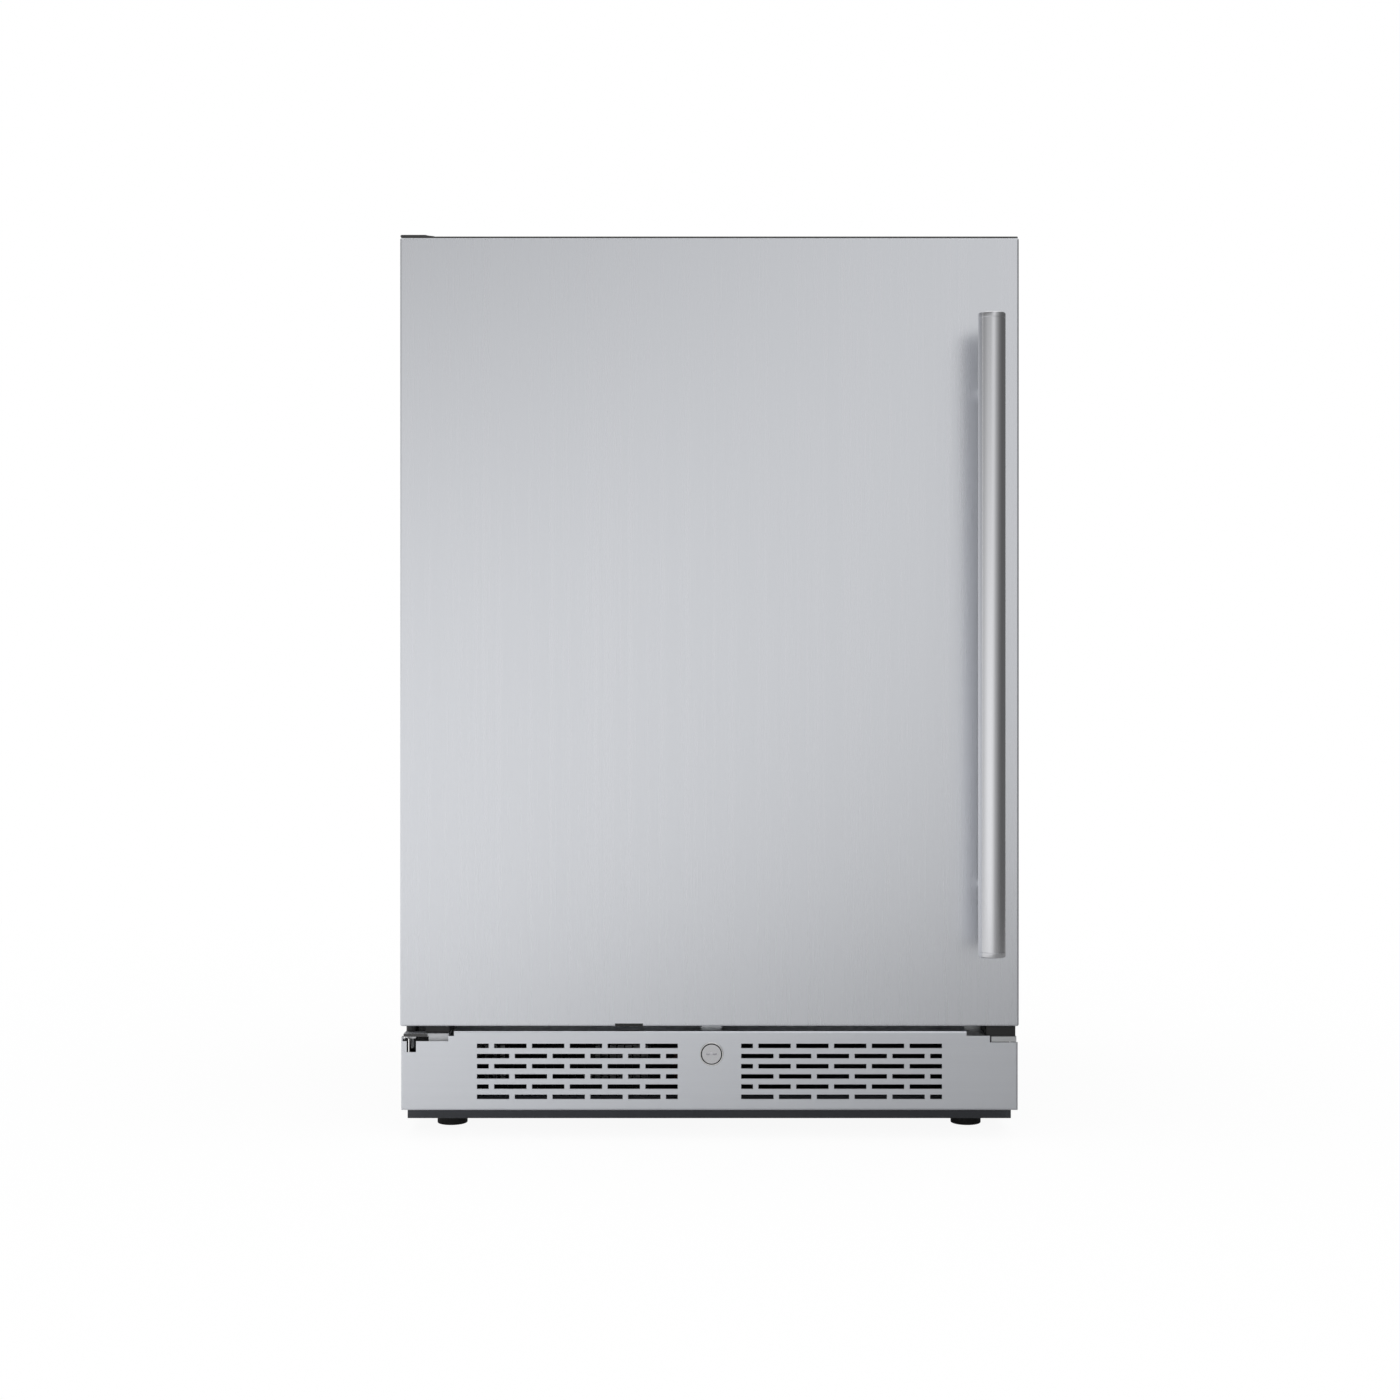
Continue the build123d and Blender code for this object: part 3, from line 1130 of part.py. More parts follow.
def seal_ring(outset, inset, near, far):
    """Rectangular ring between two offsets from the seal's outer edge."""
    low, high = SEAL_Z
    ring = block(-SEAL_HALF + outset, SEAL_HALF - outset, near, far, low + outset, high - outset)
    ring = fillet(ring.edges().filter_by(Axis.Y), SEAL_ROUND - outset)
    return ring - block(-SEAL_HALF + inset, SEAL_HALF - inset, near - PAST, far + PAST,
                        low + inset, high - inset)


def door_gasket():
    """Magnetic seal around the inner panel, with the hollow that lets it squeeze."""
    seal = seal_ring(0.0, SEAL_WIDTH, DOOR_THICK, CABINET_FRONT - PART_GAP)
    return seal - seal_ring(GROOVE_INSET, SEAL_WIDTH - GROOVE_INSET, *GROOVE_DEPTHS)


def lock_strike():
    """Steel cup in the door's underside."""
    cup = strike_space(STRIKE_WALL) - strike_space(0.0)
    return cup - block(-DOOR, DOOR, 0, DOOR_THICK, DOOR_BOTTOM - PAST, DOOR_BOTTOM + DOOR_SHEET)


def foam_fill_plug():
    """Black plug of the hole that the foam was poured through."""
    return plug_space()


def hinge_bushings():
    """Two plastic bushings that turn on the hinge pins."""
    return bush_space() - post(HINGE_X, HINGE_DEPTH, BASE_TOP, CABINET_TOP, PIN_RADIUS + RUNNING_GAP)


def handle_bar():
    """Drawn stainless tube of the grip."""
    low = HANDLE_BOTTOM + CAP_LENGTH
    high = HANDLE_BOTTOM + HANDLE_LENGTH - CAP_LENGTH
    bar = post(HANDLE_X, -HANDLE_REACH, low, high, HANDLE_RADIUS)
    return bar - post(HANDLE_X, -HANDLE_REACH, low - PAST, high + PAST, HANDLE_RADIUS - HANDLE_WALL)


def handle_end_caps():
    """Two turned caps pressed into the tube's ends."""
    caps = []
    for end, inward in ((HANDLE_BOTTOM, 1), (HANDLE_BOTTOM + HANDLE_LENGTH, -1)):
        face = end + inward * CAP_LENGTH
        low, high = sorted((end, face))
        disc = post(HANDLE_X, -HANDLE_REACH, low, high, HANDLE_RADIUS)
        rims = disc.edges().filter_by(GeomType.CIRCLE).sort_by(Axis.Z)
        rim = rims[0] if inward == 1 else rims[-1]
        disc = chamfer(rim, CAP_CHAMFER)
        low, high = sorted((face, face + inward * CAP_PLUG))
        caps.append(disc + post(HANDLE_X, -HANDLE_REACH, low, high, HANDLE_RADIUS - HANDLE_WALL))
    return group(caps)


def handle_standoffs():
    """Two turned posts with saddle ends and threaded studs."""
    posts = []
    for z in STANDOFFS_Z:
        shape = bar_y(HANDLE_X, z, -HANDLE_REACH, 0, STANDOFF_RADIUS)
        shape += bar_y(HANDLE_X, z, 0, STUD_LENGTH, HANDLE_STUD)
        posts.append(shape - post(HANDLE_X, -HANDLE_REACH, z - SADDLE_REACH, z + SADDLE_REACH, HANDLE_RADIUS))
    return group(posts)


# ---------------------------------------------------------------- write every node
os.makedirs("parts", exist_ok=True)

for build in (
    cabinet_wrapper, cabinet_underside, cabinet_back, cabinet_foam, inner_liner, rear_cover, cord_gland,
    base_pan, kick_grille, lock_barrel, lock_nut, lock_cylinder, lock_bolt,
    lower_hinge_bracket, lower_hinge_pin, bracket_spacers, right_bracket,
    upper_hinge_bracket, upper_hinge_pin, upper_hinge_cover, case_screws,
    shelf_rails, shelf_glass, shelf_trims, control_housing, display_window, light_lens,
    evaporator, evaporator_cover, evaporator_fan, evaporator_fan_motor, drain_tube,
    compressor, compressor_grommets, terminal_cover, condenser, condenser_shroud, condenser_fan,
    condenser_fan_motor, filter_drier, refrigerant_lines, drip_tray,
    door_skin, door_top_cap, door_liner, door_foam, door_gasket, lock_strike, foam_fill_plug,
    hinge_bushings, handle_bar, handle_end_caps, handle_standoffs,
):
    save(build(), build.__name__)

for (foot_x, foot_depth), corner in zip(FEET, ("front_left", "front_right", "rear_left", "rear_right")):
    save(levelling_foot(foot_x, foot_depth), f"foot_{corner}")

for name, button_x in zip(BUTTON_NAMES, BUTTON_X):
    save(control_button(button_x), name)
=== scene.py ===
import math

import bmesh
import bpy
import numpy as np
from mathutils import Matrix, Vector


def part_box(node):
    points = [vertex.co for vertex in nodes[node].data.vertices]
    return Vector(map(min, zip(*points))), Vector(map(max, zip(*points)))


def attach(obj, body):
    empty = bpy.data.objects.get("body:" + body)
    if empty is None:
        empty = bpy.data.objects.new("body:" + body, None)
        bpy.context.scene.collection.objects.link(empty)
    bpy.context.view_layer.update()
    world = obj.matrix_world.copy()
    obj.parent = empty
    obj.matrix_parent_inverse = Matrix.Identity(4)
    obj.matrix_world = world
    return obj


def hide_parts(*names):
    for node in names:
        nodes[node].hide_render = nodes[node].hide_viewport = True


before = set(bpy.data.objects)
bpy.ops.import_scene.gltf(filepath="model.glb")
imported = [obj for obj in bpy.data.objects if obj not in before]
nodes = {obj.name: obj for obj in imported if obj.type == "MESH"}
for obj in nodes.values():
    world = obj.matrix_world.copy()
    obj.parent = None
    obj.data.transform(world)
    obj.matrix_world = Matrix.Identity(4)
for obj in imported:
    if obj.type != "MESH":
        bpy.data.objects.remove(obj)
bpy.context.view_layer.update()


# ---------------------------------------------------------------- the studio
# A level camera straight in front of the door, a pale floor and a large soft white surround.
# The surround is bright at the left and behind, and falls off to the right, as in a one-sided
# light tent; a steel door shows that as a slow shade from one side to the other.
class Wire:
    """A shader socket. Arithmetic on it, from either side, adds Math nodes."""

    def __init__(self, shader, socket):
        self.shader = shader
        self.socket = socket

    def math(self, operation, first, second=0.0):
        return self.shader.node("ShaderNodeMath", {"operation": operation}, {0: first, 1: second})

    def __add__(self, other):
        return self.math("ADD", self, other)

    def __radd__(self, other):
        return self.math("ADD", other, self)

    def __sub__(self, other):
        return self.math("SUBTRACT", self, other)

    def __rsub__(self, other):
        return self.math("SUBTRACT", other, self)

    def __mul__(self, other):
        return self.math("MULTIPLY", self, other)

    def __rmul__(self, other):
        return self.math("MULTIPLY", other, self)

    def __truediv__(self, other):
        return self.math("DIVIDE", self, other)

    def above(self, edge, softness):
        """0 below the edge, 1 above it, with a soft step between."""
        return self.shader.node("ShaderNodeMapRange", {"interpolation_type": "SMOOTHSTEP"},
                                {"Value": self, "From Min": edge - softness, "From Max": edge + softness})


class Shader:
    """A node tree under construction; node() adds any node and returns one of its outputs."""

    def __init__(self, tree):
        self.tree = tree

    def node(self, kind, settings=None, inputs=None, output=0):
        made = self.tree.nodes.new(kind)
        for key, value in (settings or {}).items():
            if key == "stops":
                ramp = made.color_ramp
                while len(ramp.elements) < len(value):
                    ramp.elements.new(0.5)
                for element, (place, colour) in zip(ramp.elements, value):
                    element.position = place
                    element.color = colour
            else:
                setattr(made, key, value)
        for key, value in (inputs or {}).items():
            socket = made.inputs[key]
            if isinstance(value, Wire):
                self.tree.links.new(value.socket, socket)
            else:
                socket.default_value = value
        return Wire(self, made.outputs[output])

    def blend(self, amount, low, high):
        """A colour between two others."""
        return self.node("ShaderNodeMix", {"data_type": "RGBA"}, {0: amount, 6: low, 7: high}, 2)


def grey(value):
    return (value, value, value, 1.0)


door_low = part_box("door_skin")[0]
view_distance = 1.9
view_height = 0.423
view_side = -0.0091
lens = bpy.data.cameras.new("front_view")
lens.sensor_width = 36.0
lens.lens = 50.75
camera = bpy.data.objects.new("front_view", lens)
camera.location = (view_side, door_low.y - view_distance, view_height)
camera.rotation_euler = (math.radians(90), 0, 0)
bpy.context.scene.collection.objects.link(camera)
bpy.context.scene.camera = camera
bpy.context.scene.view_settings.view_transform = "Standard"

world = bpy.data.worlds.new("light_tent")
world.use_nodes = True
bpy.context.scene.world = world
sky = Shader(world.node_tree)
direction = sky.node("ShaderNodeTexCoord", output="Generated")
split = sky.node("ShaderNodeSeparateXYZ", inputs={"Vector": direction})
across = Wire(sky, split.socket.node.outputs["X"])
ahead = Wire(sky, split.socket.node.outputs["Y"])
up = Wire(sky, split.socket.node.outputs["Z"])
round_about = sky.node("ShaderNodeMath", {"operation": "ARCTAN2"}, {0: across, 1: ahead * -1.0}) / math.pi
below = sky.node("ShaderNodeMath", {"operation": "MINIMUM"}, {0: up, 1: 0.0})
slant = round_about - up * 0.2 - below * 0.2
tent = sky.node("ShaderNodeValToRGB", {"stops": [
    (0.00, grey(0.50)), (0.13, grey(0.90)), (0.18, grey(1.20)), (0.22, grey(1.05)), (0.26, grey(0.60)),
    (0.30, grey(0.74)), (0.39, grey(1.02)), (0.46, grey(1.04)), (0.50, grey(0.93)), (0.525, grey(0.76)),
    (0.55, grey(0.55)), (0.58, grey(0.42)), (0.65, grey(0.20)), (0.72, grey(0.13)), (0.90, grey(0.13)),
    (1.00, grey(0.50))]},
    {"Fac": slant * 0.5 + 0.5})
sideways = sky.node("ShaderNodeClamp", inputs={"Value": across, "Min": -0.3, "Max": 0.3})
shade = sky.node("ShaderNodeMapRange", inputs={
    "Value": up * (1.0 - sideways * 3.0), "From Min": 0.03, "From Max": 0.50,
    "To Min": 1.0, "To Max": 0.3})
surround = sky.blend(shade, grey(0.0), tent)
overhead = up.above(0.7, 0.2)
surround = sky.blend(overhead, surround, grey(1.1))
seen = sky.node("ShaderNodeLightPath", output="Is Camera Ray")
surround = sky.blend(seen, surround, grey(1.0))
background = world.node_tree.nodes["Background"]
world.node_tree.links.new(surround.socket, background.inputs["Color"])
background.inputs["Strength"].default_value = 1.0

floor_half = 1.6
floor_mesh = bpy.data.meshes.new("studio_floor")
corners = [(x, y, 0.0) for x, y in ((-1, -1), (1, -1), (1, 1), (-1, 1))]
floor_mesh.from_pydata([(x * floor_half, y * floor_half, z) for x, y, z in corners], [], [(0, 1, 2, 3)])
floor = bpy.data.objects.new("studio_floor", floor_mesh)
bpy.context.scene.collection.objects.link(floor)


class Finish(Shader):
    """A material around one Principled shader; its constants are set straight on the sockets."""

    def __init__(self, name, **constants):
        self.material = bpy.data.materials.new(name)
        self.material.use_nodes = True
        super().__init__(self.material.node_tree)
        self.surface = self.tree.nodes["Principled BSDF"]
        for key, value in constants.items():
            self.surface.inputs[key.replace("_", " ")].default_value = value

    def place(self, stretch):
        """Object coordinates in metres, times a factor along each axis."""
        spot = self.node("ShaderNodeTexCoord", output="Object")
        return self.node("ShaderNodeMapping", inputs={"Vector": spot, "Scale": stretch})

    def noise(self, stretch, detail=2.0):
        """Smooth noise, 0 to 1, with this many lumps per metre along each axis."""
        return self.node("ShaderNodeTexNoise", inputs={"Vector": self.place(stretch), "Scale": 1.0,
                                                       "Detail": detail, "Roughness": 0.55})

    def feed(self, **wires):
        """Links varying values to the shader's sockets."""
        for key, wire in wires.items():
            self.tree.links.new(wire.socket, self.surface.inputs[key.replace("_", " ")])
        return self

    def bump(self, height, distance, strength=0.5):
        """Turns a height into a normal; the distance is in metres."""
        return self.feed(Normal=self.node("ShaderNodeBump", inputs={
            "Height": height, "Distance": distance, "Strength": strength}))


floor_paint = Finish("floor_paper", Roughness=0.85, Specular_IOR_Level=0.0)
floor_spot = floor_paint.node("ShaderNodeSeparateXYZ", inputs={"Vector": floor_paint.place((1.0, 1.0, 1.0))})
floor_shade = floor_paint.blend(floor_spot + 0.5, grey(0.90), grey(0.38))
on_view = floor_paint.node("ShaderNodeLightPath", output="Is Camera Ray")
floor_glow = floor_paint.blend(floor_spot + 0.5, grey(0.16), grey(0.025))
floor_paint.feed(Base_Color=floor_paint.blend(on_view, floor_shade, grey(0.10)),
                 Emission_Color=floor_paint.blend(on_view, floor_glow, grey(0.93)))
floor_paint.surface.inputs["Emission Strength"].default_value = 1.0
floor_mesh.materials.append(floor_paint.material)


# ---------------------------------------------------------------- base pan
# Folded steel tray under the whole cabinet, spray-painted charcoal. Its front rail is the dark strip
# that shows below the grille. Weld nuts for the feet and studs for the compressor stand on it.
def dress(finish, *names):
    """Gives CAD nodes a finish through their material slots."""
    for name in names:
        piece = nodes[name]
        if not piece.material_slots:
            piece.data.materials.append(finish.material)
        for slot in piece.material_slots:
            slot.material = finish.material


def sprayed(name, dark, light, roughness, peel=90.0):
    """Sprayed or powder coat: slow shade, orange-peel bump and a slightly uneven gloss."""
    coat = Finish(name, Specular_IOR_Level=0.45)
    slow = coat.noise((6.0, 6.0, 6.0))
    fine = coat.noise((peel * 10, peel * 10, peel * 10))
    coat.feed(Base_Color=coat.blend(slow, dark, light), Roughness=roughness + fine * 0.12)
    coat.bump(fine, 0.00008)
    return coat


charcoal = sprayed("charcoal_coat", (0.056, 0.060, 0.070, 1), (0.070, 0.074, 0.084, 1), 0.42)
dress(charcoal, "base_pan")


# ---------------------------------------------------------------- levelling feet
# Four moulded nylon glides on threaded steel studs, screwed up into the base. The pad's lower rim is
# rounded.
def sheet_mesh(name, points, close_u=False, close_v=False, sharp=30.0):
    """A grid of points, shape (rows, columns, 3), joined by quads; a direction may close on itself."""
    rows, columns = points.shape[:2]
    index = np.arange(rows * columns).reshape(rows, columns)
    if close_u:
        index = np.vstack([index, index[:1]])
    if close_v:
        index = np.hstack([index, index[:, :1]])
    quads = np.stack([index[:-1, :-1], index[:-1, 1:], index[1:, 1:], index[1:, :-1]], axis=-1)
    mesh = bpy.data.meshes.new(name)
    mesh.from_pydata(points.reshape(-1, 3).tolist(), [], quads.reshape(-1, 4).tolist())
    mesh.validate()
    seal(mesh)
    mesh.polygons.foreach_set("use_smooth", np.ones(len(mesh.polygons), bool))
    mesh.set_sharp_from_angle(angle=math.radians(sharp))
    return mesh


def seal(mesh):
    """Merges the points of poles and seams, then turns every face outwards."""
    work = bmesh.new()
    work.from_mesh(mesh)
    bmesh.ops.remove_doubles(work, verts=work.verts, dist=1e-6)
    bmesh.ops.recalc_face_normals(work, faces=work.faces)
    work.to_mesh(mesh)
    work.free()


def piece(name, mesh, finish, body, slot, *stands_for):
    """Links a finished mesh as one piece of the object."""
    made = bpy.data.objects.new(name, mesh)
    bpy.context.scene.collection.objects.link(made)
    mesh.materials.append(finish.material)
    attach(made, body)
    if stands_for:
        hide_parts(*stands_for)
    return made


def turned(profile, centre, axis="Z", steps=72, ripple=0.0, ripples=0):
    """A profile of (radius, height) turned round an axis through centre.

    Point = centre + radius * (cos a, sin a) across the axis + height along it; with ripples the
    radius is also times 1 + ripple * cos(ripples * a).
    """
    profile = np.asarray(profile, float)
    angle = np.linspace(0, 2 * math.pi, steps, endpoint=False)
    swell = 1 + ripple * np.cos(ripples * angle)
    radius = profile[:, :1] * swell
    flat_a = radius * np.cos(angle)
    flat_b = radius * np.sin(angle)
    height = np.repeat(profile[:, 1:], steps, axis=1)
    order = {"Z": (flat_a, flat_b, height), "Y": (flat_a, height, flat_b), "X": (height, flat_a, flat_b)}
    return np.stack(order[axis], axis=-1) + np.asarray(centre)


def rounded(radius, height, start, end, steps=6):
    """Quarter or part circle of a profile round (radius, height); angles in degrees."""
    a, b, bend = radius[0], height, radius[1]
    angles = np.radians(np.linspace(start, end, steps))
    return [(a + bend * math.cos(t), b + bend * math.sin(t)) for t in angles]


nylon = Finish("foot_nylon", Specular_IOR_Level=0.4)
nylon_grain = nylon.noise((900.0, 900.0, 900.0))
nylon.feed(Base_Color=nylon.blend(nylon_grain, grey(0.010), grey(0.018)), Roughness=0.45 + nylon_grain * 0.2)
nylon.bump(nylon_grain, 0.00005)
pad_top = 0.0117
rim = 0.001
neck = 0.0075
thread_crest, thread_root, thread_step = 0.0049, 0.0043, 0.00075
for corner in ("front_left", "front_right", "rear_left", "rear_right"):
    low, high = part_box("foot_" + corner)
    middle = (low + high) / 2
    wide = (high.x - low.x) / 2
    outline = [(0.0, low.z), (wide - rim, low.z)]
    outline += rounded((wide - rim, rim), low.z + rim, -80, 0)
    outline += [(wide, pad_top - 0.002), (wide - 0.001, pad_top - 0.0006), (wide - 0.002, pad_top),
                (neck, pad_top), (0.0048, pad_top)]
    thread = np.arange(pad_top, high.z - 0.001, thread_step)
    outline += [(thread_crest if i % 2 else thread_root, z) for i, z in enumerate(thread)]
    outline += [(0.004, high.z), (0.0, high.z)]
    mesh = sheet_mesh("glide_" + corner, turned(outline, (middle.x, middle.y, 0)), close_v=True)
    piece("glide_" + corner, mesh, nylon, "foot_" + corner, "black_plastic", "foot_" + corner)


# ---------------------------------------------------------------- kick grille
# Stainless sheet folded into a shallow tray, punched with two groups of slots and brushed from side
# to side. The lock hole is in the middle and the upper corners are cut away round the brackets.
def brushed(name, colour, along, roughness, streak=0.05, **constants):
    """Brushed steel: long fine streaks and slow bands in colour and gloss, with a slight bump."""
    steel = Finish(name, Metallic=1.0, **constants)
    fine = {"x": (14.0, 2600.0, 2600.0), "z": (2600.0, 2600.0, 14.0)}[along]
    wide = {"x": (0.8, 160.0, 160.0), "z": (160.0, 160.0, 0.8)}[along]
    streaks = steel.noise(fine, 3.0)
    bands = steel.noise(wide, 2.0)
    tone = streaks * 0.6 + bands * 0.4
    dark = tuple(c * (1 - streak) for c in colour) + (1.0,)
    light = tuple(min(1.0, c * (1 + streak)) for c in colour) + (1.0,)
    steel.feed(Base_Color=steel.blend(tone, dark, light), Roughness=roughness + (tone - 0.5) * 0.16)
    steel.bump(streaks, 0.00002, 0.35)
    return steel


grille_steel = brushed("grille_steel", (0.78, 0.80, 0.84), "x", 0.34)
dress(grille_steel, "kick_grille")


# ---------------------------------------------------------------- lock
# Chromed barrel clamped through the grille by a nut, with a turning plug. The plug's crank pin lifts
# a zinc bolt into a steel cup in the door's underside.
def plated(name, colour, roughness):
    """Bright plating with faint clouding and hairline scratches."""
    plate = Finish(name, Metallic=1.0)
    cloud = plate.noise((60.0, 60.0, 60.0))
    hair = plate.noise((3000.0, 220.0, 220.0), 3.0)
    dark = tuple(c * 0.93 for c in colour) + (1.0,)
    plate.feed(Base_Color=plate.blend(cloud, dark, colour + (1.0,)), Roughness=roughness + hair * 0.12)
    plate.bump(hair, 0.00001, 0.3)
    return plate


chrome = plated("bright_plate", (0.80, 0.80, 0.82), 0.12)
zinc = plated("zinc_plate", (0.66, 0.67, 0.68), 0.28)
dress(chrome, "lock_cylinder")
barrel_low, barrel_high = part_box("lock_barrel")
plug_low, plug_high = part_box("lock_cylinder")
lock_x = (barrel_low.x + barrel_high.x) / 2
lock_z = (barrel_low.z + barrel_high.z) / 2
rim_out = (barrel_high.x - barrel_low.x) / 2
bore = (plug_high.x - plug_low.x) / 2 + 0.00006
shank = rim_out - 0.0009
front = barrel_low.y
groove = front + 0.0036
lip_back = front + 0.0018
inner_round = 0.0004
outer_round = 0.0005
barrel_outline = [(bore, barrel_high.y), (bore, groove + 0.0004), (bore + 0.0002, groove),
                  (shank - 0.0007, groove), (shank - 0.0005, front + 0.0006)]
barrel_outline += rounded((shank - 0.0001, inner_round), front + inner_round, 180, 270, 4)
barrel_outline += rounded((rim_out - outer_round, outer_round), front + outer_round, 270, 360, 5)
barrel_outline += [(rim_out, lip_back), (shank, lip_back), (shank, barrel_high.y)]
ring_steel = plated("ring_plate", (0.74, 0.74, 0.76), 0.16)
# Past the lip, inside the groove, the ring's base colour turns near-black: painted shade in the recess.
ring_depth = ring_steel.node("ShaderNodeSeparateXYZ", inputs={"Vector": ring_steel.place((1.0, 1.0, 1.0))})
painted_groove_shade = Wire(ring_steel, ring_depth.socket.node.outputs["Y"]).above(front + 0.0016, 0.0008)
ring_steel.feed(Base_Color=ring_steel.blend(painted_groove_shade, grey(0.78), grey(0.01)))
ring_points = turned(barrel_outline, (lock_x, 0, lock_z), axis="Y", steps=96)
mesh = sheet_mesh("lock_ring", ring_points, close_u=True, close_v=True)
piece("lock_ring", mesh, ring_steel, "cabinet", "bright_chrome", "lock_barrel")
dress(zinc, "lock_nut", "lock_bolt", "lock_strike")


# ---------------------------------------------------------------- cabinet sheets
# One painted sheet forms both sides and the top; the back, the stepped underside and the rear cover
# are bare galvanised steel with its frosty spangle.
cabinet_black = sprayed("cabinet_black", (0.016, 0.016, 0.018, 1), (0.024, 0.024, 0.027, 1), 0.38)
dress(cabinet_black, "cabinet_wrapper")

galvanised = Finish("galvanised", Metallic=1.0)
spangle = galvanised.node("ShaderNodeTexVoronoi", inputs={"Vector": galvanised.place((90.0, 90.0, 90.0)),
                                                          "Scale": 1.0}, output="Color")
spangle_grey = galvanised.node("ShaderNodeRGBToBW", inputs={"Color": spangle})
galvanised.feed(Base_Color=galvanised.blend(spangle_grey, grey(0.48), (0.62, 0.63, 0.64, 1)),
                Roughness=0.36 + spangle_grey * 0.2)
dress(galvanised, "cabinet_back", "cabinet_underside", "rear_cover", "condenser_shroud")


# ---------------------------------------------------------------- insulation and liner
# Rigid foam fills the walls. The liner is vacuum-formed white plastic with a light pebble, and the
# inner door panel is the same sheet.
foam = Finish("rigid_foam", Roughness=0.9)
cells = foam.noise((1200.0, 1200.0, 1200.0))
foam.feed(Base_Color=foam.blend(cells, (0.78, 0.66, 0.36, 1), (0.88, 0.80, 0.52, 1)))
foam.bump(cells, 0.0003)
dress(foam, "cabinet_foam", "door_foam")


def moulded(name, dark, light, roughness, grain=700.0, depth=0.00006, **constants):
    """Moulded plastic: fine pebble and a slow, faint change of colour and gloss."""
    plastic = Finish(name, **constants)
    pebble = plastic.noise((grain, grain, grain))
    slow = plastic.noise((12.0, 12.0, 12.0))
    plastic.feed(Base_Color=plastic.blend(slow, dark, light), Roughness=roughness + pebble * 0.15)
    plastic.bump(pebble, depth)
    return plastic


liner_white = moulded("liner_white", (0.80, 0.81, 0.81, 1), (0.86, 0.87, 0.87, 1), 0.34)
dress(liner_white, "inner_liner", "door_liner", "shelf_rails")


# ---------------------------------------------------------------- shelves
# Tempered panes with a green edge, in stainless channels front and rear, resting on the liner's side rails.
glass = Finish("shelf_glass", Roughness=0.03, IOR=1.5, Transmission_Weight=0.0)
haze = glass.noise((25.0, 25.0, 25.0))
glass_tint = glass.blend(haze, (0.60, 0.78, 0.72, 1), (0.68, 0.84, 0.78, 1))
glass.feed(Base_Color=glass_tint, Alpha=0.28 + haze * 0.06)
dress(glass, "shelf_glass")
trim_steel = brushed("trim_steel", (0.70, 0.70, 0.72), "x", 0.28)
dress(trim_steel, "shelf_trims")


# ---------------------------------------------------------------- controls and light
# A dark grey moulded housing under the ceiling, with a smoked window, three keys and a milky lens.
control_grey = moulded("control_grey", grey(0.055), grey(0.07), 0.42)
key_grey = moulded("key_grey", grey(0.16), grey(0.19), 0.38)
smoked = moulded("smoked_window", (0.006, 0.007, 0.009, 1), (0.010, 0.011, 0.014, 1), 0.06, depth=0.0)
milky = moulded("milky_lens", (0.86, 0.88, 0.86, 1), (0.92, 0.93, 0.91, 1), 0.30,
                Emission_Color=grey(0.9), Emission_Strength=0.6)
dress(control_grey, "control_housing")
dress(key_grey, "button_light", "button_warmer", "button_colder")
dress(smoked, "display_window")
dress(milky, "light_lens")


# ---------------------------------------------------------------- cooling in the cavity
# Fin-and-tube coil behind a moulded cover, with a small fan at its outlet and a drain below.
fin_metal = Finish("fin_metal", Metallic=1.0)
fin_tone = fin_metal.noise((40.0, 40.0, 300.0))
fin_metal.feed(Base_Color=fin_metal.blend(fin_tone, grey(0.55), grey(0.75)), Roughness=0.32 + fin_tone * 0.2)
cover_grey = moulded("cover_grey", (0.74, 0.75, 0.76, 1), (0.79, 0.80, 0.81, 1), 0.38)
dark_plastic = moulded("dark_plastic", grey(0.012), grey(0.018), 0.40)
mid_grey = moulded("mid_grey", grey(0.10), grey(0.13), 0.45)
dress(fin_metal, "evaporator")
dress(cover_grey, "evaporator_cover")
dress(mid_grey, "evaporator_fan_motor", "drain_tube")


def fan_blade(root, tip, depth, centre, turn):
    """One swept blade as a closed skin.

    Point at span s and chord c: radius = root + (tip - root) * s, angle = turn + 0.5 * s^1.4 +
    c * (1 - 0.2 * s), depth = middle + depth * (0.8 * (c - 0.5) + camber * sin(pi * c)); the far face
    is the same point set back by a thickness that fades to nothing at every edge.
    """
    span = np.linspace(0, 1, 14)[:, None]
    chord = np.linspace(0, 1, 12)[None, :]
    radius = root + (tip - root) * span + 0 * chord
    angle = turn + 0.5 * span ** 1.4 + chord * (1.0 - 0.2 * span)
    rise = depth * (0.8 * (chord - 0.5) + 0.10 * np.sin(math.pi * chord)) + 0 * span
    thick = 0.0013 * np.minimum(1, 9 * span * (1 - span)) * np.minimum(1, 7 * chord * (1 - chord))
    near = np.stack([radius * np.cos(angle), rise - thick / 2, radius * np.sin(angle)], -1)
    far = np.stack([radius * np.cos(angle), rise + thick / 2, radius * np.sin(angle)], -1)
    return np.concatenate([near, far[:, ::-1]], axis=1) + np.asarray(centre)


def joined(name, meshes, sharp=30.0):
    """Several meshes as one."""
    work = bmesh.new()
    for part in meshes:
        work.from_mesh(part)
    mesh = bpy.data.meshes.new(name)
    work.to_mesh(mesh)
    work.free()
    mesh.polygons.foreach_set("use_smooth", np.ones(len(mesh.polygons), bool))
    mesh.set_sharp_from_angle(angle=math.radians(sharp))
    return mesh


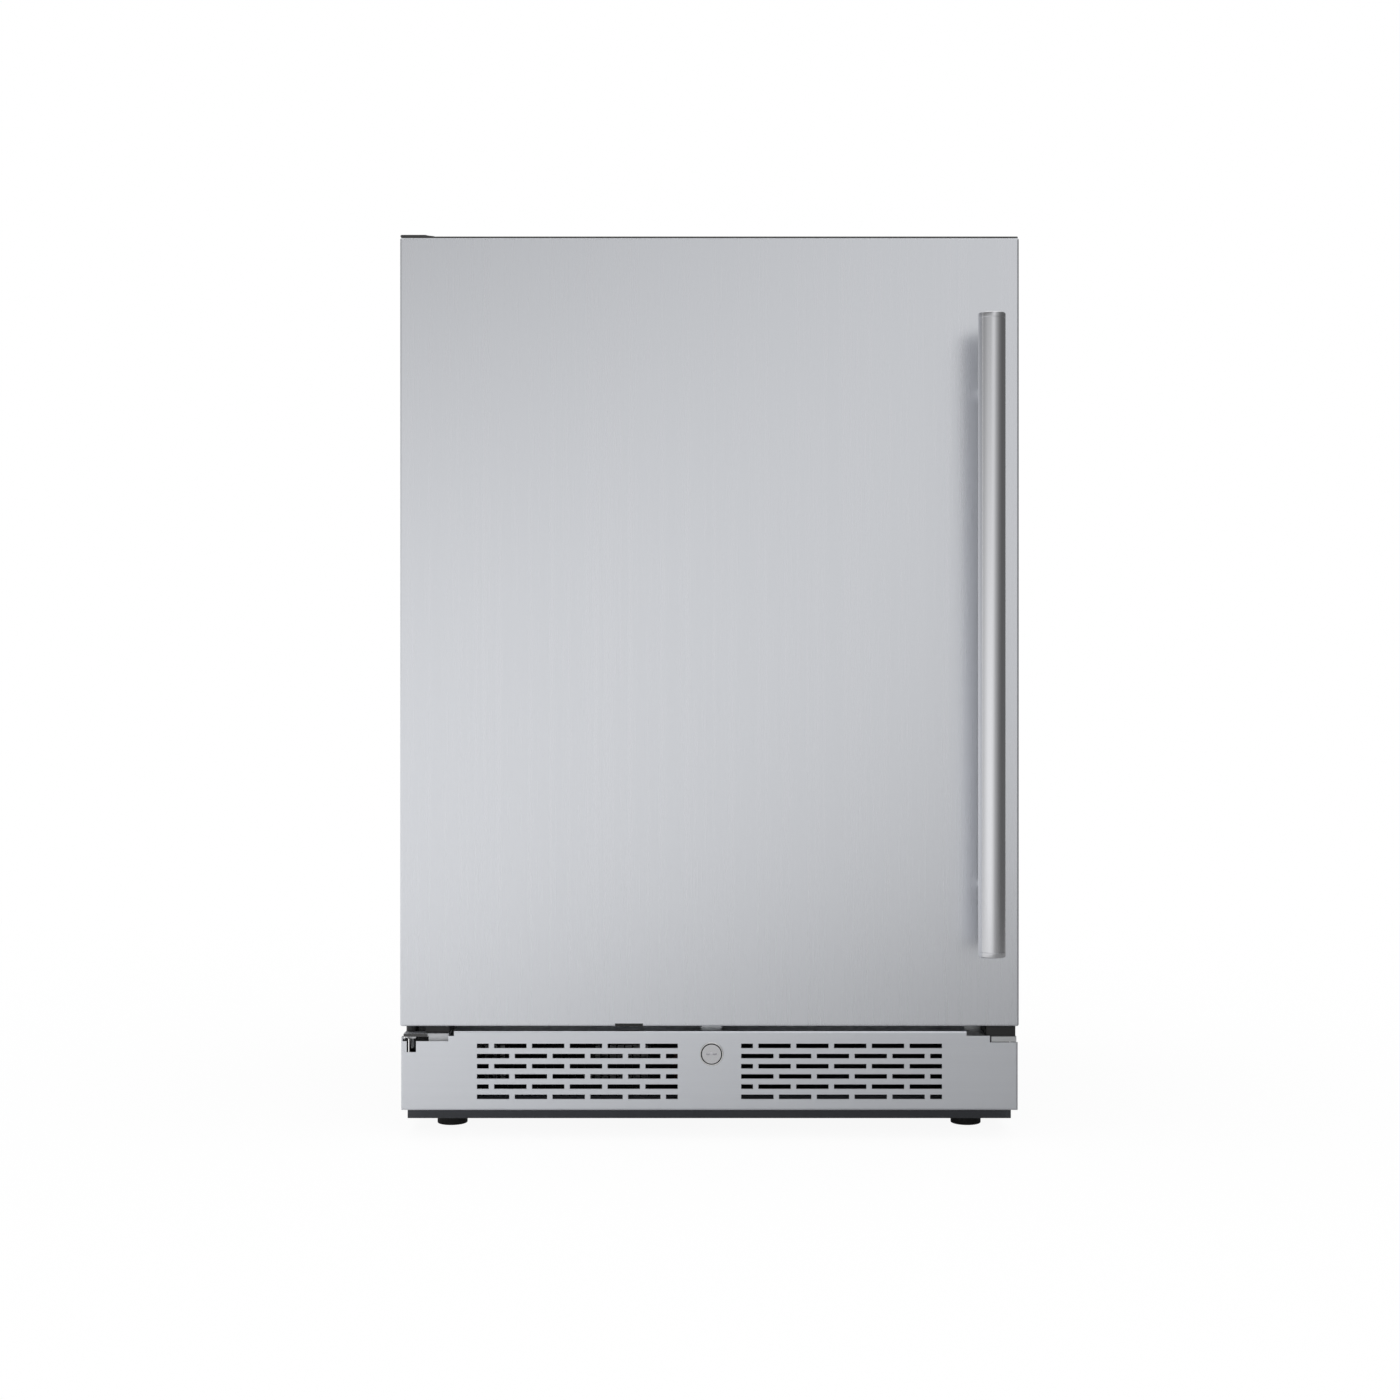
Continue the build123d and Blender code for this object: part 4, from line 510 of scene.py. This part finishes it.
blade_count = 5
hub_face = 0.003
hub_wall = 0.0016
sleeve = 0.0026
shaft_bore = 0.00165
for name, hub in (("evaporator_fan", 0.015), ("condenser_fan", 0.014)):
    low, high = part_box(name)
    middle = (low + high) / 2
    depth = high.y - low.y
    tip = (high.z - low.z) / 2 - 0.0012
    face = low.y + hub_face
    sleeve_end = high.y - hub_face
    dome = [(0.0, low.y)] + rounded((hub - hub_face, hub_face), face, -90, 0)
    dome += [(hub, high.y - 0.0005), (hub - 0.0005, high.y), (hub - hub_wall, high.y), (hub - hub_wall, face),
             (sleeve, face), (sleeve, sleeve_end), (shaft_bore, sleeve_end),
             (shaft_bore, face + 0.0002), (0.0, face + 0.0002)]
    parts = [sheet_mesh("hub", turned(dome, (middle.x, 0, middle.z), axis="Y"), close_v=True)]
    for blade in range(blade_count):
        turn = 2 * math.pi * blade / blade_count
        skin = fan_blade(hub * 0.94, tip, depth * 0.9, tuple(middle), turn)
        parts.append(sheet_mesh("blade", skin, close_v=True))
    piece(name + "_rotor", joined(name + "_rotor", parts), dark_plastic, name, "black_plastic", name)


# ---------------------------------------------------------------- machine space
# Black enamelled compressor on rubber spools, the condenser behind the left slots with its fan and
# shroud, a copper drier and copper lines, and a plastic tray that catches the meltwater.
enamel = sprayed("compressor_enamel", grey(0.010), grey(0.016), 0.18)
rubber = moulded("black_rubber", grey(0.012), grey(0.02), 0.65)
copper = Finish("copper", Metallic=1.0)
patina = copper.noise((120.0, 120.0, 120.0))
copper.feed(Base_Color=copper.blend(patina, (0.42, 0.16, 0.08, 1), (0.80, 0.40, 0.26, 1)),
            Roughness=0.22 + patina * 0.25)
black_fins = sprayed("condenser_paint", grey(0.010), grey(0.016), 0.5)
dress(enamel, "compressor")
dress(rubber, "compressor_grommets")
dress(dark_plastic, "terminal_cover", "cord_gland")
dress(black_fins, "condenser")
dress(mid_grey, "condenser_fan_motor", "drip_tray")
dress(copper, "filter_drier", "refrigerant_lines")


# ---------------------------------------------------------------- hinges and brackets
# Zinc-plated steel plates with a shouldered pin and nut below, and an arm with a riveted pin on top
# under a moulded black cover. Black blocks fill the gaps under the door. The lower plate is darker along
# its front edge, and the part of it deep under the door carries painted shade, near-black.
plate_zinc = Finish("plate_zinc", Metallic=0.35)
plate_cloud = plate_zinc.noise((60.0, 60.0, 60.0))
plate_spot = plate_zinc.node("ShaderNodeSeparateXYZ", inputs={"Vector": plate_zinc.place((1.0, 1.0, 1.0))})
plate_depth = Wire(plate_zinc, plate_spot.socket.node.outputs["Y"])
# Base colour near-black in front of the front-edge limit, and near-black behind the second limit as painted
# shade deep under the door; zinc colour in the band between.
dark_front_edge_end = door_low.y + 0.0038
in_shade = door_low.y + 0.030
plate_bright_band = plate_depth.above(dark_front_edge_end, 0.0006) - plate_depth.above(in_shade, 0.006)
plate_tone = plate_zinc.blend(plate_cloud, (0.70, 0.71, 0.73, 1), (0.82, 0.83, 0.85, 1))
plate_colour = plate_zinc.blend(plate_bright_band, grey(0.10), plate_tone)
plate_zinc.feed(Base_Color=plate_colour, Roughness=0.45 + plate_cloud * 0.15)
dress(plate_zinc, "lower_hinge_bracket")
dress(zinc, "right_bracket", "upper_hinge_bracket", "upper_hinge_pin")
dress(dark_plastic, "bracket_spacers", "hinge_bushings")


def hexagon_nut(radius, low, high, bore, centre, steps=96):
    """A chamfered hexagon nut round a vertical bore.

    Radius at angle a = the smaller of the hexagon's, apothem / cos((a mod 60) - 30 degrees), and of the
    chamfer's circle, which grows from the apothem at each face to the corner radius.
    """
    apothem = radius * math.cos(math.radians(30))
    chamfer = (radius - apothem) * 0.6
    angle = np.linspace(0, 2 * math.pi, steps, endpoint=False)
    hexagon = apothem / np.cos(np.mod(angle, math.pi / 3) - math.pi / 6)
    rows = [(bore, low), (apothem * 0.985, low)]
    rows += [(apothem + (radius - apothem) * t, low + chamfer * t) for t in (0.25, 0.6, 1.0)]
    rows += [(apothem + (radius - apothem) * t, high - chamfer * t) for t in (1.0, 0.6, 0.25)]
    rows += [(apothem * 0.985, high), (bore, high)]
    rows = np.array(rows)
    reach = np.minimum(rows[:, :1], hexagon[None, :])
    heights = np.repeat(rows[:, 1:], steps, axis=1)
    return np.stack([reach * np.cos(angle), reach * np.sin(angle), heights], -1) + np.asarray(centre)


pin_low, pin_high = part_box("lower_hinge_pin")
hinge_plate_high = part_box("lower_hinge_bracket")[1]
pin_x = (pin_low.x + pin_high.x) / 2
pin_y = (pin_low.y + pin_high.y) / 2
plate_under = pin_low.z + 0.0142
nut_under = plate_under - 0.0039
stud_crest, stud_root, stud_step = 0.0026, 0.00222, 0.0004
pin_radius = 0.004
thread = np.arange(pin_low.z + 0.0006, plate_under, stud_step)
shaft = [(0.0, pin_low.z), (0.0021, pin_low.z)]
shaft += [(stud_crest if i % 2 else stud_root, z) for i, z in enumerate(thread)]
shaft += [(stud_crest, plate_under), (pin_radius, plate_under), (pin_radius, pin_high.z - 0.001),
          (0.003, pin_high.z), (0.0, pin_high.z)]
shaft_mesh = sheet_mesh("shaft", turned(shaft, (pin_x, pin_y, 0), steps=48), close_v=True)
nut_points = hexagon_nut((pin_high.x - pin_low.x) / 2, nut_under, plate_under, stud_crest, (pin_x, pin_y, 0))
nut_mesh = sheet_mesh("nut", nut_points, close_u=True, close_v=True)
piece("hinge_stud", joined("hinge_stud", [shaft_mesh, nut_mesh]), zinc, "cabinet", "zinc", "lower_hinge_pin")


def pan_head(head, height, shank, length, spot, outward):
    """A pan-head screw with a cross recess, as one turned skin with a dented top.

    Top height at (a, b) = height * (1 - 0.35 * (r / head)^2) - dent, where the dent is deepest along the
    two arms of a cross and fades at their sides and ends.
    """
    steps = 48
    angle = np.linspace(0, 2 * math.pi, steps, endpoint=False)
    rings = 20
    radius = np.concatenate([np.linspace(0, head * 0.9, rings),
                             [head * 0.97, head, head, shank, shank, shank * 0.6, 0.0]])
    across = radius[:, None] * np.cos(angle)
    beside = radius[:, None] * np.sin(angle)
    top = height * (1 - 0.35 * (radius[:rings] / head) ** 2)
    arm = np.minimum(np.abs(across), np.abs(beside))[:rings] / (head * 0.13)
    end = np.maximum(np.abs(across), np.abs(beside))[:rings] / (head * 0.56)
    dent = height * 0.6 * np.clip(1.6 - arm ** 2, 0, 1) * np.clip((1 - end ** 2) * 3, 0, 1)
    lower = np.array([height * 0.6, height * 0.42, 0.0, 0.0, -length + shank, -length, -length])
    rise = np.concatenate([top[:, None] - dent, np.repeat(lower[:, None], steps, axis=1)])
    outward = np.asarray(outward, float)
    side = np.array([1.0, 0, 0])
    other = np.cross(outward, side)
    flat = across[..., None] * side + beside[..., None] * other
    return np.asarray(spot) + flat + rise[..., None] * outward


rear_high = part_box("rear_cover")[1]
flange_face = hinge_plate_high.y - 0.0027
screw_z = hinge_plate_high.z - 0.010
head_radius, shank_radius = 0.0042, 0.002
pan_height, low_height = 0.0024, 0.0014
heads = [((x, flange_face, screw_z), (0, -1, 0), pan_height, 0.0057) for x in (-0.276, -0.260, 0.260, 0.276)]
arm_low, arm_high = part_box("upper_hinge_bracket")
heads += [((arm_low.x + 0.010, arm_high.y - back, arm_high.z), (0, 0, 1), low_height, 0.012)
          for back in (0.010, 0.030, 0.050)]
heads += [((side * (rear_high.x - 0.008), rear_high.y, z), (0, 1, 0), pan_height, 0.011)
          for side in (-1, 1) for z in (0.060, 0.190, 0.310)]
screw_skins = [pan_head(head_radius, tall, shank_radius, deep, spot, outward)
               for spot, outward, tall, deep in heads]
screw_parts = [sheet_mesh("screw", skin, close_v=True) for skin in screw_skins]
piece("pan_screws", joined("pan_screws", screw_parts), zinc, "cabinet", "zinc", "case_screws")


def hinge_cap():
    """A shallow cap lofted from front to back, with a sloping nose and a sloping right flank.

    Each station is the outline left foot - left flank - top - sloping flank - right foot. The top climbs
    in a straight line over the first 20 mm, and an inset that follows a quarter circle over the last
    1.2 mm at both ends draws the outline in.
    """
    low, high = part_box("upper_hinge_cover")
    bend = 0.0012
    climb = 0.020
    nose = low.z + 0.0012
    ends = bend * np.linspace(0, 1, 6) ** 1.5
    stations = np.concatenate([low.y + ends, low.y + climb * np.linspace(0.2, 1.2, 7), high.y - ends[::-1]])
    reach = np.clip(np.minimum(stations - low.y, high.y - stations) / bend, 0, 1)
    insets = 0.7 * bend * (1 - np.sqrt(1 - (1 - reach) ** 2))
    crests = np.minimum(high.z, nose + (high.z - nose) * (stations - low.y) / climb) - insets
    rows = []
    for y, inset, top in zip(stations, insets, crests):
        left, right = low.x + inset, high.x - inset
        shoulder = high.x - 0.011
        corner = min(bend, 0.8 * (top - low.z))
        arc = [(left + corner * (1 - math.cos(a)), top - corner * (1 - math.sin(a)))
               for a in np.linspace(0, math.pi / 2, 6)]
        fall = top - low.z
        slope = [(shoulder, top), (shoulder + 0.001, top - 0.04 * fall),
                 (shoulder + 0.002, top - 0.12 * fall)]
        foot = [(right - 0.0010, low.z + 0.16 * fall), (right - 0.0002, low.z + 0.08 * fall), (right, low.z)]
        rows.append([(x, y, z) for x, z in [(left, low.z)] + arc + slope + foot])
    rows = np.array(rows)
    caps = [np.repeat(row.mean(axis=0)[None], rows.shape[1], axis=0)[None] for row in (rows[0], rows[-1])]
    return np.concatenate([caps[0], rows, caps[1]])


mesh = sheet_mesh("hinge_cap", hinge_cap(), close_v=True, sharp=50.0)
piece("hinge_cap", mesh, dark_plastic, "cabinet", "black_plastic", "upper_hinge_cover")


# ---------------------------------------------------------------- door
# A folded stainless panel brushed from top to bottom, a dark strip along the top, a grey extruded
# seal on the inside and a black plug in the lower edge.
door_steel = brushed("door_steel", (0.766, 0.783, 0.82), "z", 0.285, streak=0.035)
dress(door_steel, "door_skin")
strip_grey = moulded("strip_grey", grey(0.12), grey(0.14), 0.45)
dress(strip_grey, "door_top_cap")
dress(dark_plastic, "foam_fill_plug")
seal_grey = moulded("seal_grey", grey(0.09), grey(0.11), 0.55)


def swept_seal(low, high, corner=0.007, middle=0.006):
    """The seal's section swept round a rounded rectangle.

    Path point + outward * offset across the section, and the section's own depth along Y; the section
    is a flat foot, a folded bellows and a rounded magnet tube.
    """
    half_x = (high.x - low.x) / 2 - middle
    half_z = (high.z - low.z) / 2 - middle
    centre_x = (low.x + high.x) / 2
    centre_z = (low.z + high.z) / 2
    angle = np.concatenate([np.radians(np.linspace(90 * k, 90 * k + 90, 10)) for k in range(4)])
    sign_x = np.repeat([1, -1, -1, 1], 10)
    sign_z = np.repeat([1, 1, -1, -1], 10)
    out_x, out_z = np.cos(angle), np.sin(angle)
    path_x = centre_x + sign_x * (half_x - corner) + corner * out_x
    path_z = centre_z + sign_z * (half_z - corner) + corner * out_z
    depth = high.y - low.y
    section = np.array([(-0.80, 0), (0.80, 0), (0.86, 0.10), (0.60, 0.24), (0.62, 0.32), (0.92, 0.44),
                        (1.00, 0.60), (0.97, 0.82), (0.80, 0.97), (0.60, 1.0), (-0.60, 1.0), (-0.80, 0.97),
                        (-0.97, 0.82), (-1.00, 0.60), (-0.92, 0.44), (-0.62, 0.32), (-0.60, 0.24),
                        (-0.86, 0.10)])
    offset = section[None, :, 0] * middle
    rise = low.y + section[None, :, 1] * depth + 0 * angle[:, None]
    seal_x = path_x[:, None] + out_x[:, None] * offset
    seal_z = path_z[:, None] + out_z[:, None] * offset
    return np.stack([seal_x, rise, seal_z], -1)


mesh = sheet_mesh("bellows_seal", swept_seal(*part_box("door_gasket")), close_u=True, close_v=True, sharp=50.0)
piece("bellows_seal", mesh, seal_grey, "door", "gasket_rubber", "door_gasket")


# ---------------------------------------------------------------- handle
# A 25 mm stainless tube with turned caps pressed into its ends, on two posts bolted through the door.
bar_low, bar_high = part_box("handle_end_caps")
tube_low, tube_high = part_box("handle_bar")
bar_x = (bar_low.x + bar_high.x) / 2
bar_y = (bar_low.y + bar_high.y) / 2
bar_radius = (bar_high.x - bar_low.x) / 2 - 0.00005
grip_steel = brushed("grip_steel", (0.74, 0.745, 0.77), "z", 0.2, streak=0.03)
seam = 0.0002
tube_bore = bar_radius - 0.0015
cap_plug = bar_radius - 0.0016
plug_length = 0.012
tube_outline = [(tube_bore, tube_low.z), (bar_radius - seam, tube_low.z), (bar_radius, tube_low.z + seam)]
tube_outline += [(bar_radius, z) for z in np.linspace(tube_low.z + 0.01, tube_high.z - 0.01, 12)]
tube_outline += [(bar_radius, tube_high.z - seam), (bar_radius - seam, tube_high.z), (tube_bore, tube_high.z)]
mesh = sheet_mesh("grip_tube", turned(tube_outline, (bar_x, bar_y, 0), steps=128), close_v=True, close_u=True)
piece("grip_tube", mesh, grip_steel, "door", "stainless_bar", "handle_bar")
round_off = 0.0012
for name, end, joint in (("grip_cap_low", bar_low.z, tube_low.z), ("grip_cap_high", bar_high.z, tube_high.z)):
    inward = 1 if joint > end else -1
    outline = [(0.0, end), (bar_radius - round_off, end)]
    outline += [(bar_radius - round_off * (1 - math.sin(t)), end + inward * round_off * (1 - math.cos(t)))
                for t in np.linspace(0.2, math.pi / 2, 6)]
    plug_end = joint + inward * plug_length
    outline += [(bar_radius, joint - inward * seam), (bar_radius - seam, joint), (cap_plug, joint),
                (cap_plug, plug_end), (0.0, plug_end)]
    mesh = sheet_mesh(name, turned(outline, (bar_x, bar_y, 0), steps=128), close_v=True)
    if name == "grip_cap_low":
        piece(name, mesh, grip_steel, "door", "stainless_bar", "handle_end_caps")
    else:
        piece(name, mesh, grip_steel, "door", "stainless_bar")
dress(grip_steel, "handle_standoffs")
